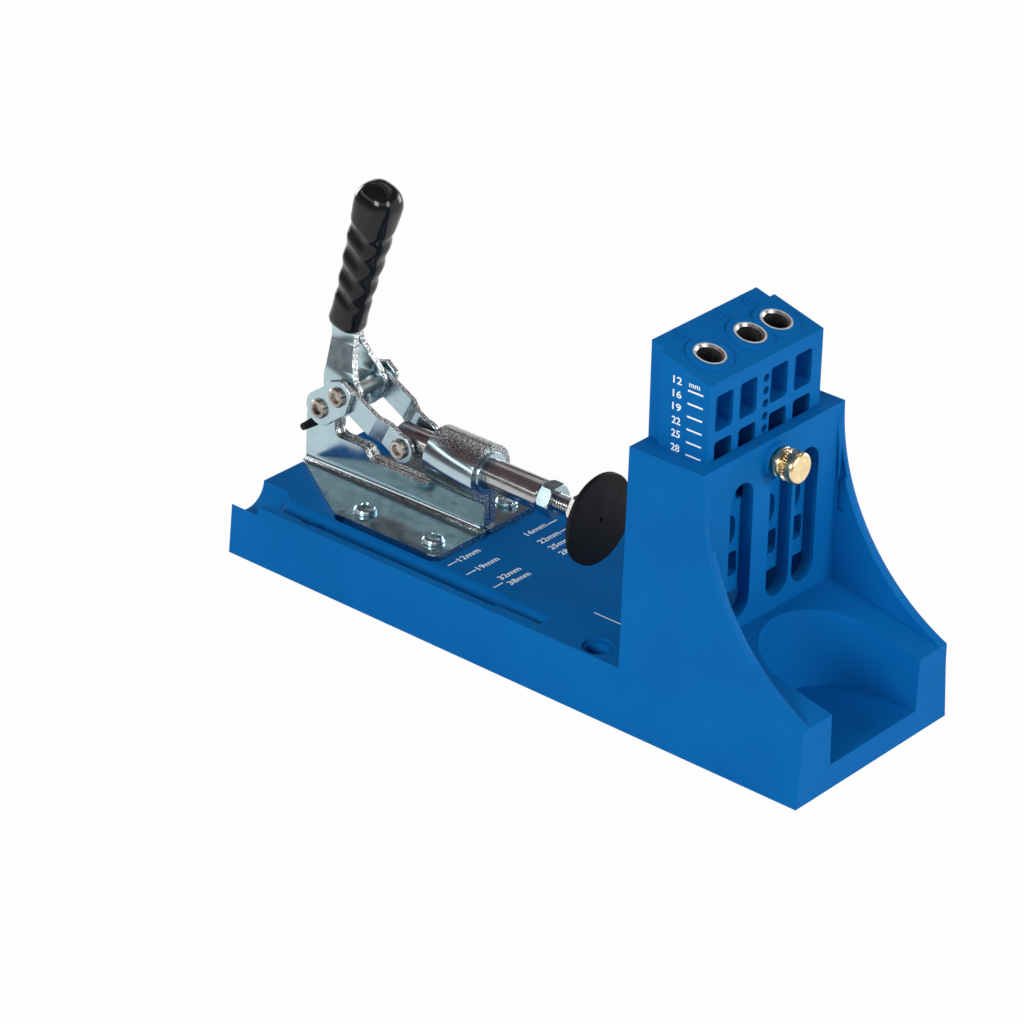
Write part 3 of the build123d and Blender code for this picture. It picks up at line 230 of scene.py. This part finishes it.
def make_print():
    material, tree, shader = new_material("white_print")
    wear = noise(tree, 3500, 3)
    colour_shader(tree, shader, ramp(tree, wear, PRINT_WEAR), spread(tree, wear, 0.45, 0.6))
    return material


ZINC_TONES = ((0.41, 0.54, 0.59), (0.47, 0.61, 0.66))
# Rivet heads: a warm brownish steel tone, darkened further as painted shade that stands in for the
# shadow ring round each head.
RIVET_TONES_AND_SHADE = ((0.20, 0.165, 0.14), (0.58, 0.54, 0.50))
DULL_TONES = ((0.22, 0.26, 0.27), (0.42, 0.47, 0.48))
STEEL_TONES = ((0.36, 0.365, 0.37), (0.56, 0.57, 0.58))
BUSHING_TONES = ((0.42, 0.44, 0.43), (0.64, 0.66, 0.65))
BRASS_TONES = ((0.86, 0.66, 0.34), (0.96, 0.80, 0.50))
RUBBER_TONES = ((0.0030, 0.0035, 0.0045), (0.0060, 0.0070, 0.0080))
VINYL_TONES = ((0.0045, 0.005, 0.006), (0.008, 0.009, 0.010))

PLASTIC = make_plastic()
ZINC = make_zinc("zinc_steel", *ZINC_TONES, (0.18, 0.26), 0.05)
ZINC_PLATE = make_zinc("zinc_plate", *ZINC_TONES, (0.20, 0.28), 0.04, cut_edge)
ZINC_BRACKET = make_zinc("zinc_bracket", *ZINC_TONES, (0.13, 0.19), 0.04, bracket_rough)
# Rivet steel; its darker tones are partly painted shade for the shadow ring round the heads.
RIVET = make_zinc("rivet_steel", *RIVET_TONES_AND_SHADE, (0.16, 0.26), 0.08)
ZINC_DULL = make_zinc("zinc_dull", *DULL_TONES, (0.3, 0.42), 0.4)
STEEL = make_turned("polished_steel", *STEEL_TONES, (0.15, 0.24), (0.2, 6.0, 6.0))
BUSHING = make_turned("bushing_steel", *BUSHING_TONES, (0.22, 0.32), (4.0, 4.0, 0.6))
BRASS = make_turned("turned_brass", *BRASS_TONES, (0.18, 0.30), (6.0, 1.0, 1.0))
RUBBER = make_black("black_rubber", *RUBBER_TONES, (0.5, 0.62), 1500)
VINYL = make_black("black_vinyl", *VINYL_TONES, (0.15, 0.21), 260, coat=0.2)
PRINT = make_print()

FINISHES = {
    "blue_plastic": PLASTIC,
    "zinc_steel": ZINC,
    "bright_steel": STEEL,
    "bushing_steel": BUSHING,
    "brass": BRASS,
    "black_rubber": RUBBER,
    "black_vinyl": VINYL,
}
OTHER_FINISHES = {
    "bracket_nuts": ZINC_DULL,
    "pivot_spacers": ZINC_DULL,
    "handle_spacer": ZINC_DULL,
    "jam_nut": ZINC,
    "frame_pivot_rivet": RIVET,
    "link_pivot_rivet": RIVET,
    "plunger_rivet": RIVET,
    "bracket_half_front": ZINC_BRACKET,
    "bracket_half_rear": ZINC_BRACKET,
}
for plate in ("handle_plate", "ear_plate", "link"):
    OTHER_FINISHES[plate + "_front"] = ZINC_PLATE
    OTHER_FINISHES[plate + "_rear"] = ZINC_PLATE

for part in frame["record"]["subparts"]:
    materials = NODES[part["node"]].data.materials
    materials.clear()
    materials.append(OTHER_FINISHES.get(part["node"], FINISHES[part["material_slot"]]))


# Softened edges on the carried-over solids

WELD_DISTANCE = 0.002
FLAT_ANGLE = 0.4
EDGE_ANGLE = 32
PLATES = ("bracket_half", "handle_plate", "ear_plate", "link")
SOFT_EDGES = [("base_body", 0.8, 3), ("guide_block", 0.6, 3)]
SOFT_EDGES += [(plate + side, 0.35, 2) for plate in PLATES for side in ("_front", "_rear")]
SOFT_EDGES += [(name, 0.2, 2) for name in ("plunger", "jam_nut", "pad_nut", "barrel_sleeve")]


def soften(name, width, segments):
    thing = NODES[name]
    weld = thing.modifiers.new("weld", "WELD")
    weld.merge_threshold = WELD_DISTANCE * MM
    flat = thing.modifiers.new("flat", "DECIMATE")
    flat.decimate_type = "DISSOLVE"
    flat.angle_limit = math.radians(FLAT_ANGLE)
    edge = thing.modifiers.new("edge", "BEVEL")
    edge.width = width * MM
    edge.segments = segments
    edge.limit_method = "ANGLE"
    edge.angle_limit = math.radians(EDGE_ANGLE)
    edge.use_clamp_overlap = True
    edge.harden_normals = True


for name, width, segments in SOFT_EDGES:
    soften(name, width, segments)


# Meshes

def make_mesh(name, points, faces, body, material, smooth=True):
    """Mesh from points in millimetres, carried by a body."""
    mesh = bpy.data.meshes.new(name)
    mesh.from_pydata([Vector(p) * MM for p in points], [], faces)
    mesh.validate()
    mesh.update()
    for polygon in mesh.polygons:
        polygon.use_smooth = smooth
    mesh.materials.append(material)
    thing = bpy.data.objects.new(name, mesh)
    bpy.context.scene.collection.objects.link(thing)
    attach(thing, body)
    return thing


def split_edges(thing, degrees):
    split = thing.modifiers.new("split", "EDGE_SPLIT")
    split.split_angle = math.radians(degrees)


def smooth_step(value):
    value = max(0.0, min(1.0, value))
    return value * value * (3 - 2 * value)


def angles_round(around):
    return [2 * math.pi * j / around for j in range(around)]


def tube_faces(rings, around):
    """Quads between rings of points, with one face on each end."""
    faces = []
    for i in range(rings - 1):
        for j in range(around):
            here, beyond = i * around, (i + 1) * around
            k = (j + 1) % around
            faces.append((here + j, here + k, beyond + k, beyond + j))
    faces.append(tuple(range(around))[::-1])
    faces.append(tuple((rings - 1) * around + j for j in range(around)))
    return faces


def turned_x(stations, around, radius_at, axis_z):
    """Points on rings along X; radius_at(x, r, angle) gives the surface."""
    points = []
    for x, r in stations:
        for angle in angles_round(around):
            radius = radius_at(x, r, angle)
            points.append((x, radius * math.cos(angle), axis_z + radius * math.sin(angle)))
    return points


# Threaded spindle
CLAMP_Z = 53.7
SPINDLE_START = -51.0
SPINDLE_END = 4.7
SPINDLE_R = 3.98
SPINDLE_CHAMFER = 0.6
SPINDLE_AROUND = 40
JOURNAL_END = 9.2
JOURNAL_R = 3.0
JOURNAL_CHAMFER = 0.4
SHOULDER = 0.01
THREAD_PITCH = 1.25
THREAD_DEPTH = 0.62
THREAD_FLANK = 1.25
RINGS_PER_TURN = 8


def thread_radius(x, r, angle):
    if r < SPINDLE_R:
        return r
    phase = (x / THREAD_PITCH - angle / (2 * math.pi)) % 1.0
    wave = abs(2 * phase - 1)
    fade = min(1.0, (SPINDLE_END - x) / THREAD_PITCH, (x - SPINDLE_START) / THREAD_PITCH)
    return r - THREAD_DEPTH * min(1.0, THREAD_FLANK * wave) * max(0.0, fade)


def make_spindle():
    rings = int((SPINDLE_END - SPINDLE_START) / THREAD_PITCH * RINGS_PER_TURN)
    step = (SPINDLE_END - SPINDLE_START) / rings
    stations = [(SPINDLE_START + i * step, SPINDLE_R) for i in range(rings + 1)]
    stations[0] = (SPINDLE_START, SPINDLE_R - SPINDLE_CHAMFER)
    stations += [
        (SPINDLE_END + SHOULDER, JOURNAL_R),
        (JOURNAL_END - JOURNAL_CHAMFER, JOURNAL_R),
        (JOURNAL_END, JOURNAL_R - JOURNAL_CHAMFER),
    ]
    points = turned_x(stations, SPINDLE_AROUND, thread_radius, CLAMP_Z)
    faces = tube_faces(len(stations), SPINDLE_AROUND)
    thing = make_mesh("spindle_threaded", points, faces, "screw", STEEL)
    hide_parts("spindle")


make_spindle()


# Knurled lock knob
KNOB_Z = 109.3
KNURLS = 32
KNURL_STEPS = 6
KNURL_START = 99.9
KNURL_END = 102.9
KNURL_DEPTH = 0.7
KNOB_SPLIT = 40
KNOB_PROFILE = (
    (87.3, 2.5), (87.8, 3.0), (94.55, 3.0), (94.6, 4.6), (95.5, 4.6), (95.6, 5.6),
    (96.0, 5.9), (96.7, 5.9), (96.9, 5.5), (97.2, 5.5), (97.4, 5.9), (98.1, 5.9),
    (98.5, 5.6), (98.6, 4.8), (99.3, 4.8), (99.4, 5.8), (99.8, 6.25), (100.0, 6.3),
    (101.4, 6.3), (102.8, 6.3), (103.0, 6.3), (104.2, 6.3), (104.5, 6.2), (105.0, 5.7),
    (105.2, 5.3), (105.2, 3.6), (105.15, 3.5), (105.2, 3.4), (105.2, 1.2), (105.2, 0.3),
)


def knurl_radius(x, r, angle):
    if KNURL_START < x < KNURL_END:
        return r - KNURL_DEPTH * (0.5 + 0.5 * math.cos(KNURLS * angle)) ** 2
    return r


def make_knob():
    around = KNURLS * KNURL_STEPS
    points = turned_x(KNOB_PROFILE, around, knurl_radius, KNOB_Z)
    faces = tube_faces(len(KNOB_PROFILE), around)
    thing = make_mesh("lock_knob_knurled", points, faces, "knob", BRASS)
    split_edges(thing, KNOB_SPLIT)
    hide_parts("lock_knob")


make_knob()


# Pan-head screws with a cross recess; each place is X, Y and the cross's turn in degrees
SCREW_PLACES = ((-92.5, -22.0, 20.0), (-92.5, 22.0, 65.0), (-56.0, -22.0, 50.0), (-56.0, 22.0, 5.0))
SCREW_AROUND = 72
SCREW_SPLIT = 50
SHANK_PROFILE = ((-21.9, 0.8), (-20.5, 2.45), (-0.01, 2.45))
HEAD_PROFILE = ((0.0, 4.55), (0.25, 4.7), (1.1, 4.68), (1.9, 4.4), (2.5, 3.9), (2.9, 3.2))
HEAD_Z = 28.0
HEAD_TOP = 3.2
CROWN_R = 3.1
CROWN_FALL = 0.3
CROWN_RINGS = 20
RECESS_R = 2.55
RECESS_HALF = 0.62
RECESS_FLARE = 1.1
RECESS_DEPTH = 1.5
RECESS_TAPER = 0.35
RECESS_WALL = 0.22
RECESS_END = 0.55


def recess(along, across):
    """Depth of one arm of the cross."""
    taper = RECESS_TAPER * abs(along) / RECESS_R
    wall = smooth_step((RECESS_HALF * (RECESS_FLARE - taper) - abs(across)) / RECESS_WALL + 0.5)
    end = smooth_step((RECESS_R - abs(along)) / RECESS_END)
    return RECESS_DEPTH * wall * end * (1.0 - taper)


def screw_points(x, y, turn):
    points = []
    rims = SHANK_PROFILE + HEAD_PROFILE
    for z, r in rims:
        for angle in angles_round(SCREW_AROUND):
            points.append((x + r * math.cos(angle), y + r * math.sin(angle), HEAD_Z + z))
    for i in range(CROWN_RINGS):
        r = CROWN_R * (1 - i / CROWN_RINGS)
        for angle in angles_round(SCREW_AROUND):
            u = r * math.cos(angle - turn)
            v = r * math.sin(angle - turn)
            sunk = max(recess(u, v), recess(v, u))
            z = HEAD_TOP - CROWN_FALL * (r / CROWN_R) ** 2 - sunk
            points.append((x + r * math.cos(angle), y + r * math.sin(angle), HEAD_Z + z))
    return points, len(rims) + CROWN_RINGS


def make_screws():
    points = []
    faces = []
    for x, y, turn in SCREW_PLACES:
        made, rings = screw_points(x, y, math.radians(turn))
        shift = len(points)
        points += made
        faces += [tuple(i + shift for i in face) for face in tube_faces(rings, SCREW_AROUND)]
    thing = make_mesh("bracket_screws_crossed", points, faces, "frame", ZINC)
    split_edges(thing, SCREW_SPLIT)
    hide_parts("bracket_screws")


make_screws()


# Dipped grip with finger waves
GRIP_FOOT = Vector((-123.0, 0.0, 94.0))
GRIP_LEAN = math.radians(16.4)
GRIP_AXIS = Vector((math.sin(GRIP_LEAN), 0.0, math.cos(GRIP_LEAN)))
GRIP_FRONT = Vector((math.cos(GRIP_LEAN), 0.0, -math.sin(GRIP_LEAN)))
GRIP_SIDE = Vector((0.0, -1.0, 0.0))
GRIP_LENGTH = 69.0
GRIP_FOOT_R = 7.6
GRIP_TOP_R = 9.6
GRIP_AROUND = 72
GRIP_RINGS = 150
RING_CROWDING = 1.35
OBLONG_POWER = 2.7
OBLONG_SCALE = 0.985
OBLONG_WIDTH = 0.9
WAVE_PITCH = 10.4
WAVE_START = 9.5
WAVE_COUNT = 4
WAVE_DEPTH = 1.15
WAVE_SKEW = 0.16
CREASES = (34.0, 146.0, 214.0, 326.0)
CREASE_DEPTH = 0.45
CREASE_WIDTH = 0.16
CREASE_START = 8.0
CREASE_END = 10.0
LIP_LENGTH = 1.6
LIP_SHARE = 0.06
DOME_START = GRIP_LENGTH - GRIP_TOP_R
DOME_POWER = 2.1
TIP_R = 0.05


def oblong(angle):
    """Share of the radius that rounds off the grip's oblong section."""
    c, s = abs(math.cos(angle)), abs(math.sin(angle))
    power = OBLONG_POWER
    return OBLONG_SCALE * (c ** power + (s / OBLONG_WIDTH) ** power) ** (-1 / power)


def finger_wave(along, angle):
    """Depth of the waves, deepest on the grip's two sides."""
    phase = (along - WAVE_START) / WAVE_PITCH + WAVE_SKEW * math.sin(2 * angle)
    if not 0 < phase < WAVE_COUNT:
        return 0.0
    ease = smooth_step(phase * 2) * smooth_step((WAVE_COUNT - phase) * 2)
    side = 0.4 + 0.6 * math.sin(angle) ** 2
    return WAVE_DEPTH * ease * side * (0.5 - 0.5 * math.cos(2 * math.pi * phase))


def crease(along, angle, middle):
    turn = math.sin((angle - math.radians(middle)) / 2)
    fade = smooth_step(along / CREASE_START) * smooth_step((DOME_START - along) / CREASE_END)
    return CREASE_DEPTH * fade * math.exp(-((turn / CREASE_WIDTH) ** 2))


def grip_shape(along, angle):
    """Distance from the grip's axis: a rounded oblong with four finger waves and creases."""
    grown = smooth_step(min(along, DOME_START) / DOME_START)
    radius = GRIP_FOOT_R + (GRIP_TOP_R - GRIP_FOOT_R) * grown
    radius *= oblong(angle)
    radius -= finger_wave(along, angle)
    for middle in CREASES:
        radius -= crease(along, angle, middle)
    radius *= 1 - LIP_SHARE + LIP_SHARE * smooth_step(along / LIP_LENGTH)
    if along > DOME_START:
        up = (along - DOME_START) / GRIP_TOP_R
        radius *= math.sqrt(max(0.0, 1 - up ** DOME_POWER))
    return radius


def make_grip():
    points = []
    for i in range(GRIP_RINGS + 1):
        along = GRIP_LENGTH * (1 - (1 - i / GRIP_RINGS) ** RING_CROWDING)
        for angle in angles_round(GRIP_AROUND):
            radius = max(TIP_R, grip_shape(along, angle))
            spot = GRIP_FOOT + GRIP_AXIS * along
            spot += (GRIP_FRONT * math.cos(angle) + GRIP_SIDE * math.sin(angle)) * radius
            points.append(tuple(spot))
    faces = tube_faces(GRIP_RINGS + 1, GRIP_AROUND)
    thing = make_mesh("handle_grip_dipped", points, faces, "handle", VINYL)
    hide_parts("handle_grip")


make_grip()


# Printed marks and raised letters

# Marks reach this far into the face that they lie on.
SUNK = 0.05
PRINT_HEIGHT = 0.03
LETTER_HEIGHT = 0.4


def text_shape(text, height, width=None):
    """Points and faces of a word, with its height and width in millimetres, centred."""
    curve = bpy.data.curves.new("word", "FONT")
    curve.body = text
    curve.size = 1.0
    curve.resolution_u = 3
    curve.extrude = 0.004
    curve.offset = 0.016
    holder = bpy.data.objects.new("word", curve)
    bpy.context.scene.collection.objects.link(holder)
    bpy.context.view_layer.update()
    depsgraph = bpy.context.evaluated_depsgraph_get()
    mesh = bpy.data.meshes.new_from_object(holder.evaluated_get(depsgraph))
    points = [v.co.copy() for v in mesh.vertices]
    faces = [tuple(p.vertices) for p in mesh.polygons]
    bpy.data.objects.remove(holder)
    bpy.data.curves.remove(curve)
    bpy.data.meshes.remove(mesh)
    low = [min(p[i] for p in points) for i in range(3)]
    high = [max(p[i] for p in points) for i in range(3)]
    scale_y = height / (high[1] - low[1])
    scale_x = width / (high[0] - low[0]) if width else scale_y
    middle = [(a + b) / 2 for a, b in zip(low, high)]
    deep = max(high[2] - low[2], 1e-6)
    shaped = []
    for x, y, z in points:
        shaped.append(((x - middle[0]) * scale_x, (y - middle[1]) * scale_y, (z - low[2]) / deep))
    return shaped, faces


def bar_shape(length, thick):
    """A plain printed bar, centred."""
    x, y = length / 2, thick / 2
    points = [(a, b, c) for c in (0, 1) for a, b in ((-x, -y), (x, -y), (x, y), (-x, y))]
    sides = [(i, (i + 1) % 4, 4 + (i + 1) % 4, 4 + i) for i in range(4)]
    return points, [(3, 2, 1, 0), (4, 5, 6, 7)] + sides


class Marks:
    """Collects marks on one face of a solid."""

    def __init__(self, right, up, depth):
        self.right = Vector(right)
        self.up = Vector(up)
        self.normal = self.right.cross(self.up)
        self.depth = depth
        self.points = []
        self.faces = []

    def add(self, shape, place):
        points, faces = shape
        shift = len(self.points)
        for x, y, z in points:
            lift = -SUNK if z < 0.5 else self.depth
            spot = Vector(place) + self.right * x + self.up * y + self.normal * lift
            self.points.append(spot)
        self.faces += [tuple(i + shift for i in face) for face in faces]

    def build(self, name, body, material):
        make_mesh(name, self.points, self.faces, body, material, smooth=False)


# The three bushings, by the letters over them
BUSHINGS_Y = (("A", -18.5), ("B", 5.2), ("C", 20.8))

DECK_Z = 25.0
DECK_TEXT = (3.0, 11.9)
DECK_ROWS = (
    ("12mm", -42.3, -16.6), ("19mm", -32.2, -16.8), ("32mm", -20.7, -16.9), ("38mm", -15.3, -17.4),
    ("16mm", -36.8, 17.3), ("22mm", -28.6, 16.0), ("25mm", -22.3, 15.2), ("28mm", -16.4, 14.6),
)
DECK_BAR = (5.4, 0.6)
DECK_LINES = (
    (-42.3, -25.95), (-32.2, -26.35), (-17.6, -27.0),
    (-35.9, 26.7), (-28.2, 25.4), (-21.9, 24.6), (-16.0, 24.0),
)
GUIDE_BAR = (0.55, 33.0)
GUIDE_X = 40.1
GUIDES_Y = (-18.1, 5.2, 20.8)

deck = Marks((0, 1, 0), (-1, 0, 0), PRINT_HEIGHT)
for words, x, y in DECK_ROWS:
    deck.add(text_shape(words, *DECK_TEXT), (x, y, DECK_Z))
for x, y in DECK_LINES:
    deck.add(bar_shape(*DECK_BAR), (x, y, DECK_Z))
for y in GUIDES_Y:
    deck.add(bar_shape(*GUIDE_BAR), (GUIDE_X, y, DECK_Z))
deck.build("deck_print", "frame", PRINT)

SCALE_FACE_Y = -33.5
SCALE_ROWS = (
    ("12", 146.7), ("16", 141.2), ("19", 135.9), ("22", 130.4), ("25", 125.1),
    ("28", 119.3), ("32", 114.0), ("35", 108.8), ("38", 103.5),
)
SCALE_TEXT = (3.0, 4.1)
SCALE_TEXT_X = 71.9
SCALE_BAR = (7.1, 0.72)
SCALE_BAR_X = 80.4
SCALE_BAR_TOP = 144.3
SCALE_PITCH = 5.24
UNIT_TEXT = (1.5, 5.0)
UNIT_PLACE = (79.8, SCALE_FACE_Y, 146.7)

scale = Marks((1, 0, 0), (0, 0, 1), PRINT_HEIGHT)
for i, (words, z) in enumerate(SCALE_ROWS):
    bar_z = SCALE_BAR_TOP - i * SCALE_PITCH
    scale.add(text_shape(words, *SCALE_TEXT), (SCALE_TEXT_X, SCALE_FACE_Y, z))
    scale.add(bar_shape(*SCALE_BAR), (SCALE_BAR_X, SCALE_FACE_Y, bar_z))
scale.add(text_shape("mm", *UNIT_TEXT), UNIT_PLACE)
scale.build("scale_print", "block", PRINT)

BLOCK_TILT = math.radians(15.0)
BLOCK_FRONT_X = 87.0
BLOCK_FRONT_Z = 149.2
LETTER_TEXT = (4.4, 4.2)
LETTER_X = 61.2
TICK_BAR = (0.8, 1.0)
TICK_X = 57.7


def on_top(x, y):
    """Point on the tilted top of the guide block."""
    return (x, y, BLOCK_FRONT_Z + (BLOCK_FRONT_X - x) * math.tan(BLOCK_TILT))


letters = Marks((0, 1, 0), (-math.cos(BLOCK_TILT), 0, math.sin(BLOCK_TILT)), LETTER_HEIGHT)
for words, y in BUSHINGS_Y:
    letters.add(text_shape(words, *LETTER_TEXT), on_top(LETTER_X, y))
    letters.add(bar_shape(*TICK_BAR), on_top(TICK_X, y))
letters.build("block_letters", "block", PLASTIC)


# Camera, floor and light, in metres

CAMERA_PLACE = Vector((0.95146, -1.15430, 0.85279))
CAMERA_AZIMUTH = math.radians(40.5)
CAMERA_ELEVATION = math.radians(28.15)
CAMERA_ROLL = math.radians(1.2)
CAMERA_LENS = 153.98
SENSOR_WIDTH = 36.0
CLIP_END = 20.0


def make_camera():
    a, e, r = CAMERA_AZIMUTH, CAMERA_ELEVATION, CAMERA_ROLL
    back = Vector((math.sin(a) * math.cos(e), -math.cos(a) * math.cos(e), math.sin(e)))
    right = (-back).cross(Vector((0, 0, 1))).normalized()
    down = (-back).cross(right)
    image_right = right * math.cos(r) - down * math.sin(r)
    image_up = -(right * math.sin(r) + down * math.cos(r))
    data = bpy.data.cameras.new("camera")
    data.lens = CAMERA_LENS
    data.sensor_width = SENSOR_WIDTH
    data.sensor_fit = "HORIZONTAL"
    data.clip_end = CLIP_END
    camera = bpy.data.objects.new("camera", data)
    bpy.context.scene.collection.objects.link(camera)
    turn = Matrix((image_right, image_up, back)).transposed()
    camera.matrix_world = Matrix.Translation(CAMERA_PLACE) @ turn.to_4x4()
    bpy.context.scene.camera = camera


def background_seen(tree, mirrored):
    """1 for the rays that see the white background; glossy ones see it where mirrored is 1."""
    path = add_node(tree, "ShaderNodeLightPath").outputs
    glossy = combine(tree, "MULTIPLY", path["Is Glossy Ray"], mirrored)
    direct = combine(tree, "MAXIMUM", path["Is Camera Ray"], path["Is Transmission Ray"])
    return combine(tree, "MAXIMUM", direct, glossy)


def mix_shaders(tree, factor, first, second):
    inputs = {0: factor, 1: first.outputs[0], 2: second.outputs[0]}
    return add_node(tree, "ShaderNodeMixShader", inputs)


FLOOR_COLOUR = (0.86, 0.87, 0.88, 1)
FLOOR_ROUGHNESS = 0.9
FLOOR_SPECULAR = 0.1
# Share of the floor's look that is plain white; the rest takes light and shadow.
FLOOR_WHITE = 0.97
FLOOR_FADE = (0.45, 0.95)
FLOOR_HALF = 1.0
FLOOR_Z = -0.0002


def make_floor():
    """White floor that takes a faint shadow and fades out towards its edge."""
    material, tree, shader = new_material("floor")
    shader.inputs["Base Color"].default_value = FLOOR_COLOUR
    shader.inputs["Roughness"].default_value = FLOOR_ROUGHNESS
    shader.inputs["Specular IOR Level"].default_value = FLOOR_SPECULAR
    glow = add_node(tree, "ShaderNodeEmission", {"Color": WHITE, "Strength": 1.0})
    seen = combine(tree, "MULTIPLY", background_seen(tree, 1.0), FLOOR_WHITE)
    lit = mix_shaders(tree, seen, shader, glow)
    place = add_node(tree, "ShaderNodeTexCoord").outputs["Object"]
    reach = add_node(tree, "ShaderNodeVectorMath", {0: place}, operation="LENGTH").outputs["Value"]
    fade = spread(tree, reach, 0.0, 1.0, *FLOOR_FADE)
    mixed = mix_shaders(tree, fade, lit, add_node(tree, "ShaderNodeBsdfTransparent"))
    tree.links.new(mixed.outputs[0], tree.nodes["Material Output"].inputs["Surface"])
    half = FLOOR_HALF
    corners = [(-half, -half, 0), (half, -half, 0), (half, half, 0), (-half, half, 0)]
    mesh = bpy.data.meshes.new("floor")
    mesh.from_pydata(corners, [], [(0, 1, 2, 3)])
    mesh.materials.append(material)
    floor = bpy.data.objects.new("floor", mesh)
    floor.location = (0, 0, FLOOR_Z)
    bpy.context.scene.collection.objects.link(floor)


# Each lamp: name, place, target, size in metres and power in watts
LAMPS = (
    ("key", (0.10, -1.50, 0.75), (0, 0, 0.05), (0.6, 0.5), 15.5),
    ("fill", (1.5, 0.1, 0.6), (0, 0, 0.06), (0.6, 0.6), 12.5),
    ("back", (0.55, 1.50, 0.22), (0, 0, 0.06), (0.7, 0.6), 9.5),
    ("left", (-1.55, 0.25, 0.22), (0, 0, 0.06), (0.6, 0.6), 8.5),
)


def make_light(name, place, target, size, power):
    data = bpy.data.lights.new(name, "AREA")
    data.shape = "RECTANGLE"
    data.size, data.size_y = size
    data.energy = power
    light = bpy.data.objects.new(name, data)
    aim = Vector(target) - Vector(place)
    light.rotation_euler = aim.to_track_quat("-Z", "Y").to_euler()
    light.location = place
    bpy.context.scene.collection.objects.link(light)


# The room that metal mirrors: colours from straight down to straight up
ROOM = (
    (0.0, (0.40, 0.40, 0.41)),
    (0.49, (0.30, 0.29, 0.29)),
    (0.53, (0.15, 0.125, 0.125)),
    (0.66, (0.13, 0.105, 0.105)),
    (0.74, (0.11, 0.10, 0.10)),
    (0.84, (0.14, 0.08, 0.09)),
    (1.0, (0.14, 0.12, 0.12)),
)
# Its lamps, as spans of the direction's Y or Z: low, high and soft edge, or start and end
STRIP_GLOW = 2.4
STRIP_Z = (0.33, 0.41, 0.03)
STRIP_IN_FRONT_Y = (-0.35, -0.1)
OVERHEAD_GLOW = 0.62
OVERHEAD_Y = (0.30, 0.46, 0.05)
OVERHEAD_ABOVE_Z = (0.5, 0.6)
CARD_GLOW = 1.3
CARD_Z = (0.64, 0.76, 0.04)
CARD_Y = (0.60, 0.75, 0.04)
# Where metal mirrors the white backdrop
BACKDROP_BEHIND_Y = (0.0, 0.2)
BACKDROP_LOW_Z = (0.14, 0.24)
# What the world gives matt surfaces
PLAIN_LIGHT = (0.19, 0.19, 0.19, 1)


def band(tree, value, low, high, soft):
    """1 between low and high, falling to 0 over the width soft on either side."""
    rise = spread(tree, value, 0.0, 1.0, low - soft, low)
    fall = spread(tree, value, 1.0, 0.0, high, high + soft)
    return combine(tree, "MULTIPLY", rise, fall)


def room_lamps(tree, axes):
    """Glow of a strip lamp in front, a strip overhead and a small card high at the back."""
    in_front = spread(tree, axes["Y"], 1.0, 0.0, *STRIP_IN_FRONT_Y)
    strip = combine(tree, "MULTIPLY", band(tree, axes["Z"], *STRIP_Z), in_front)
    above = spread(tree, axes["Z"], 0.0, 1.0, *OVERHEAD_ABOVE_Z)
    overhead = combine(tree, "MULTIPLY", band(tree, axes["Y"], *OVERHEAD_Y), above)
    card_z = band(tree, axes["Z"], *CARD_Z)
    card = combine(tree, "MULTIPLY", card_z, band(tree, axes["Y"], *CARD_Y))
    glow = combine(tree, "MULTIPLY", strip, STRIP_GLOW)
    glow = combine(tree, "ADD", glow, combine(tree, "MULTIPLY", overhead, OVERHEAD_GLOW))
    return combine(tree, "ADD", glow, combine(tree, "MULTIPLY", card, CARD_GLOW))


def make_world():
    """White backdrop, plain light on matt surfaces, and for metal a dark room with lamps.

    Metal mirrors the white backdrop only where it stands, low behind the object.
    """
    world = bpy.data.worlds.new("studio")
    bpy.context.scene.world = world
    world.use_nodes = True
    tree = world.node_tree
    ambient = tree.nodes["Background"]
    place = add_node(tree, "ShaderNodeTexCoord").outputs["Generated"]
    axes = add_node(tree, "ShaderNodeSeparateXYZ", {"Vector": place}).outputs
    room = ramp(tree, spread(tree, axes["Z"], 0.0, 1.0, -1.0, 1.0), ROOM)
    inputs = {0: room, 1: room_lamps(tree, axes)}
    lit = add_node(tree, "ShaderNodeVectorMath", inputs, operation="ADD").outputs[0]
    tree.links.new(lit, ambient.inputs["Color"])
    ambient.inputs["Strength"].default_value = 1.0
    behind = spread(tree, axes["Y"], 0.0, 1.0, *BACKDROP_BEHIND_Y)
    low = spread(tree, axes["Z"], 1.0, 0.0, *BACKDROP_LOW_Z)
    backdrop = combine(tree, "MULTIPLY", behind, low)
    white = add_node(tree, "ShaderNodeBackground", {"Color": WHITE, "Strength": 1.0})
    plain = add_node(tree, "ShaderNodeBackground", {"Color": PLAIN_LIGHT, "Strength": 1.0})
    matt = add_node(tree, "ShaderNodeLightPath").outputs["Is Diffuse Ray"]
    soft = mix_shaders(tree, matt, ambient, plain)
    mixed = mix_shaders(tree, background_seen(tree, backdrop), soft, white)
    tree.links.new(mixed.outputs[0], tree.nodes["World Output"].inputs["Surface"])


make_camera()
make_floor()
make_world()
for lamp in LAMPS:
    make_light(*lamp)
bpy.context.scene.view_settings.view_transform = "Standard"
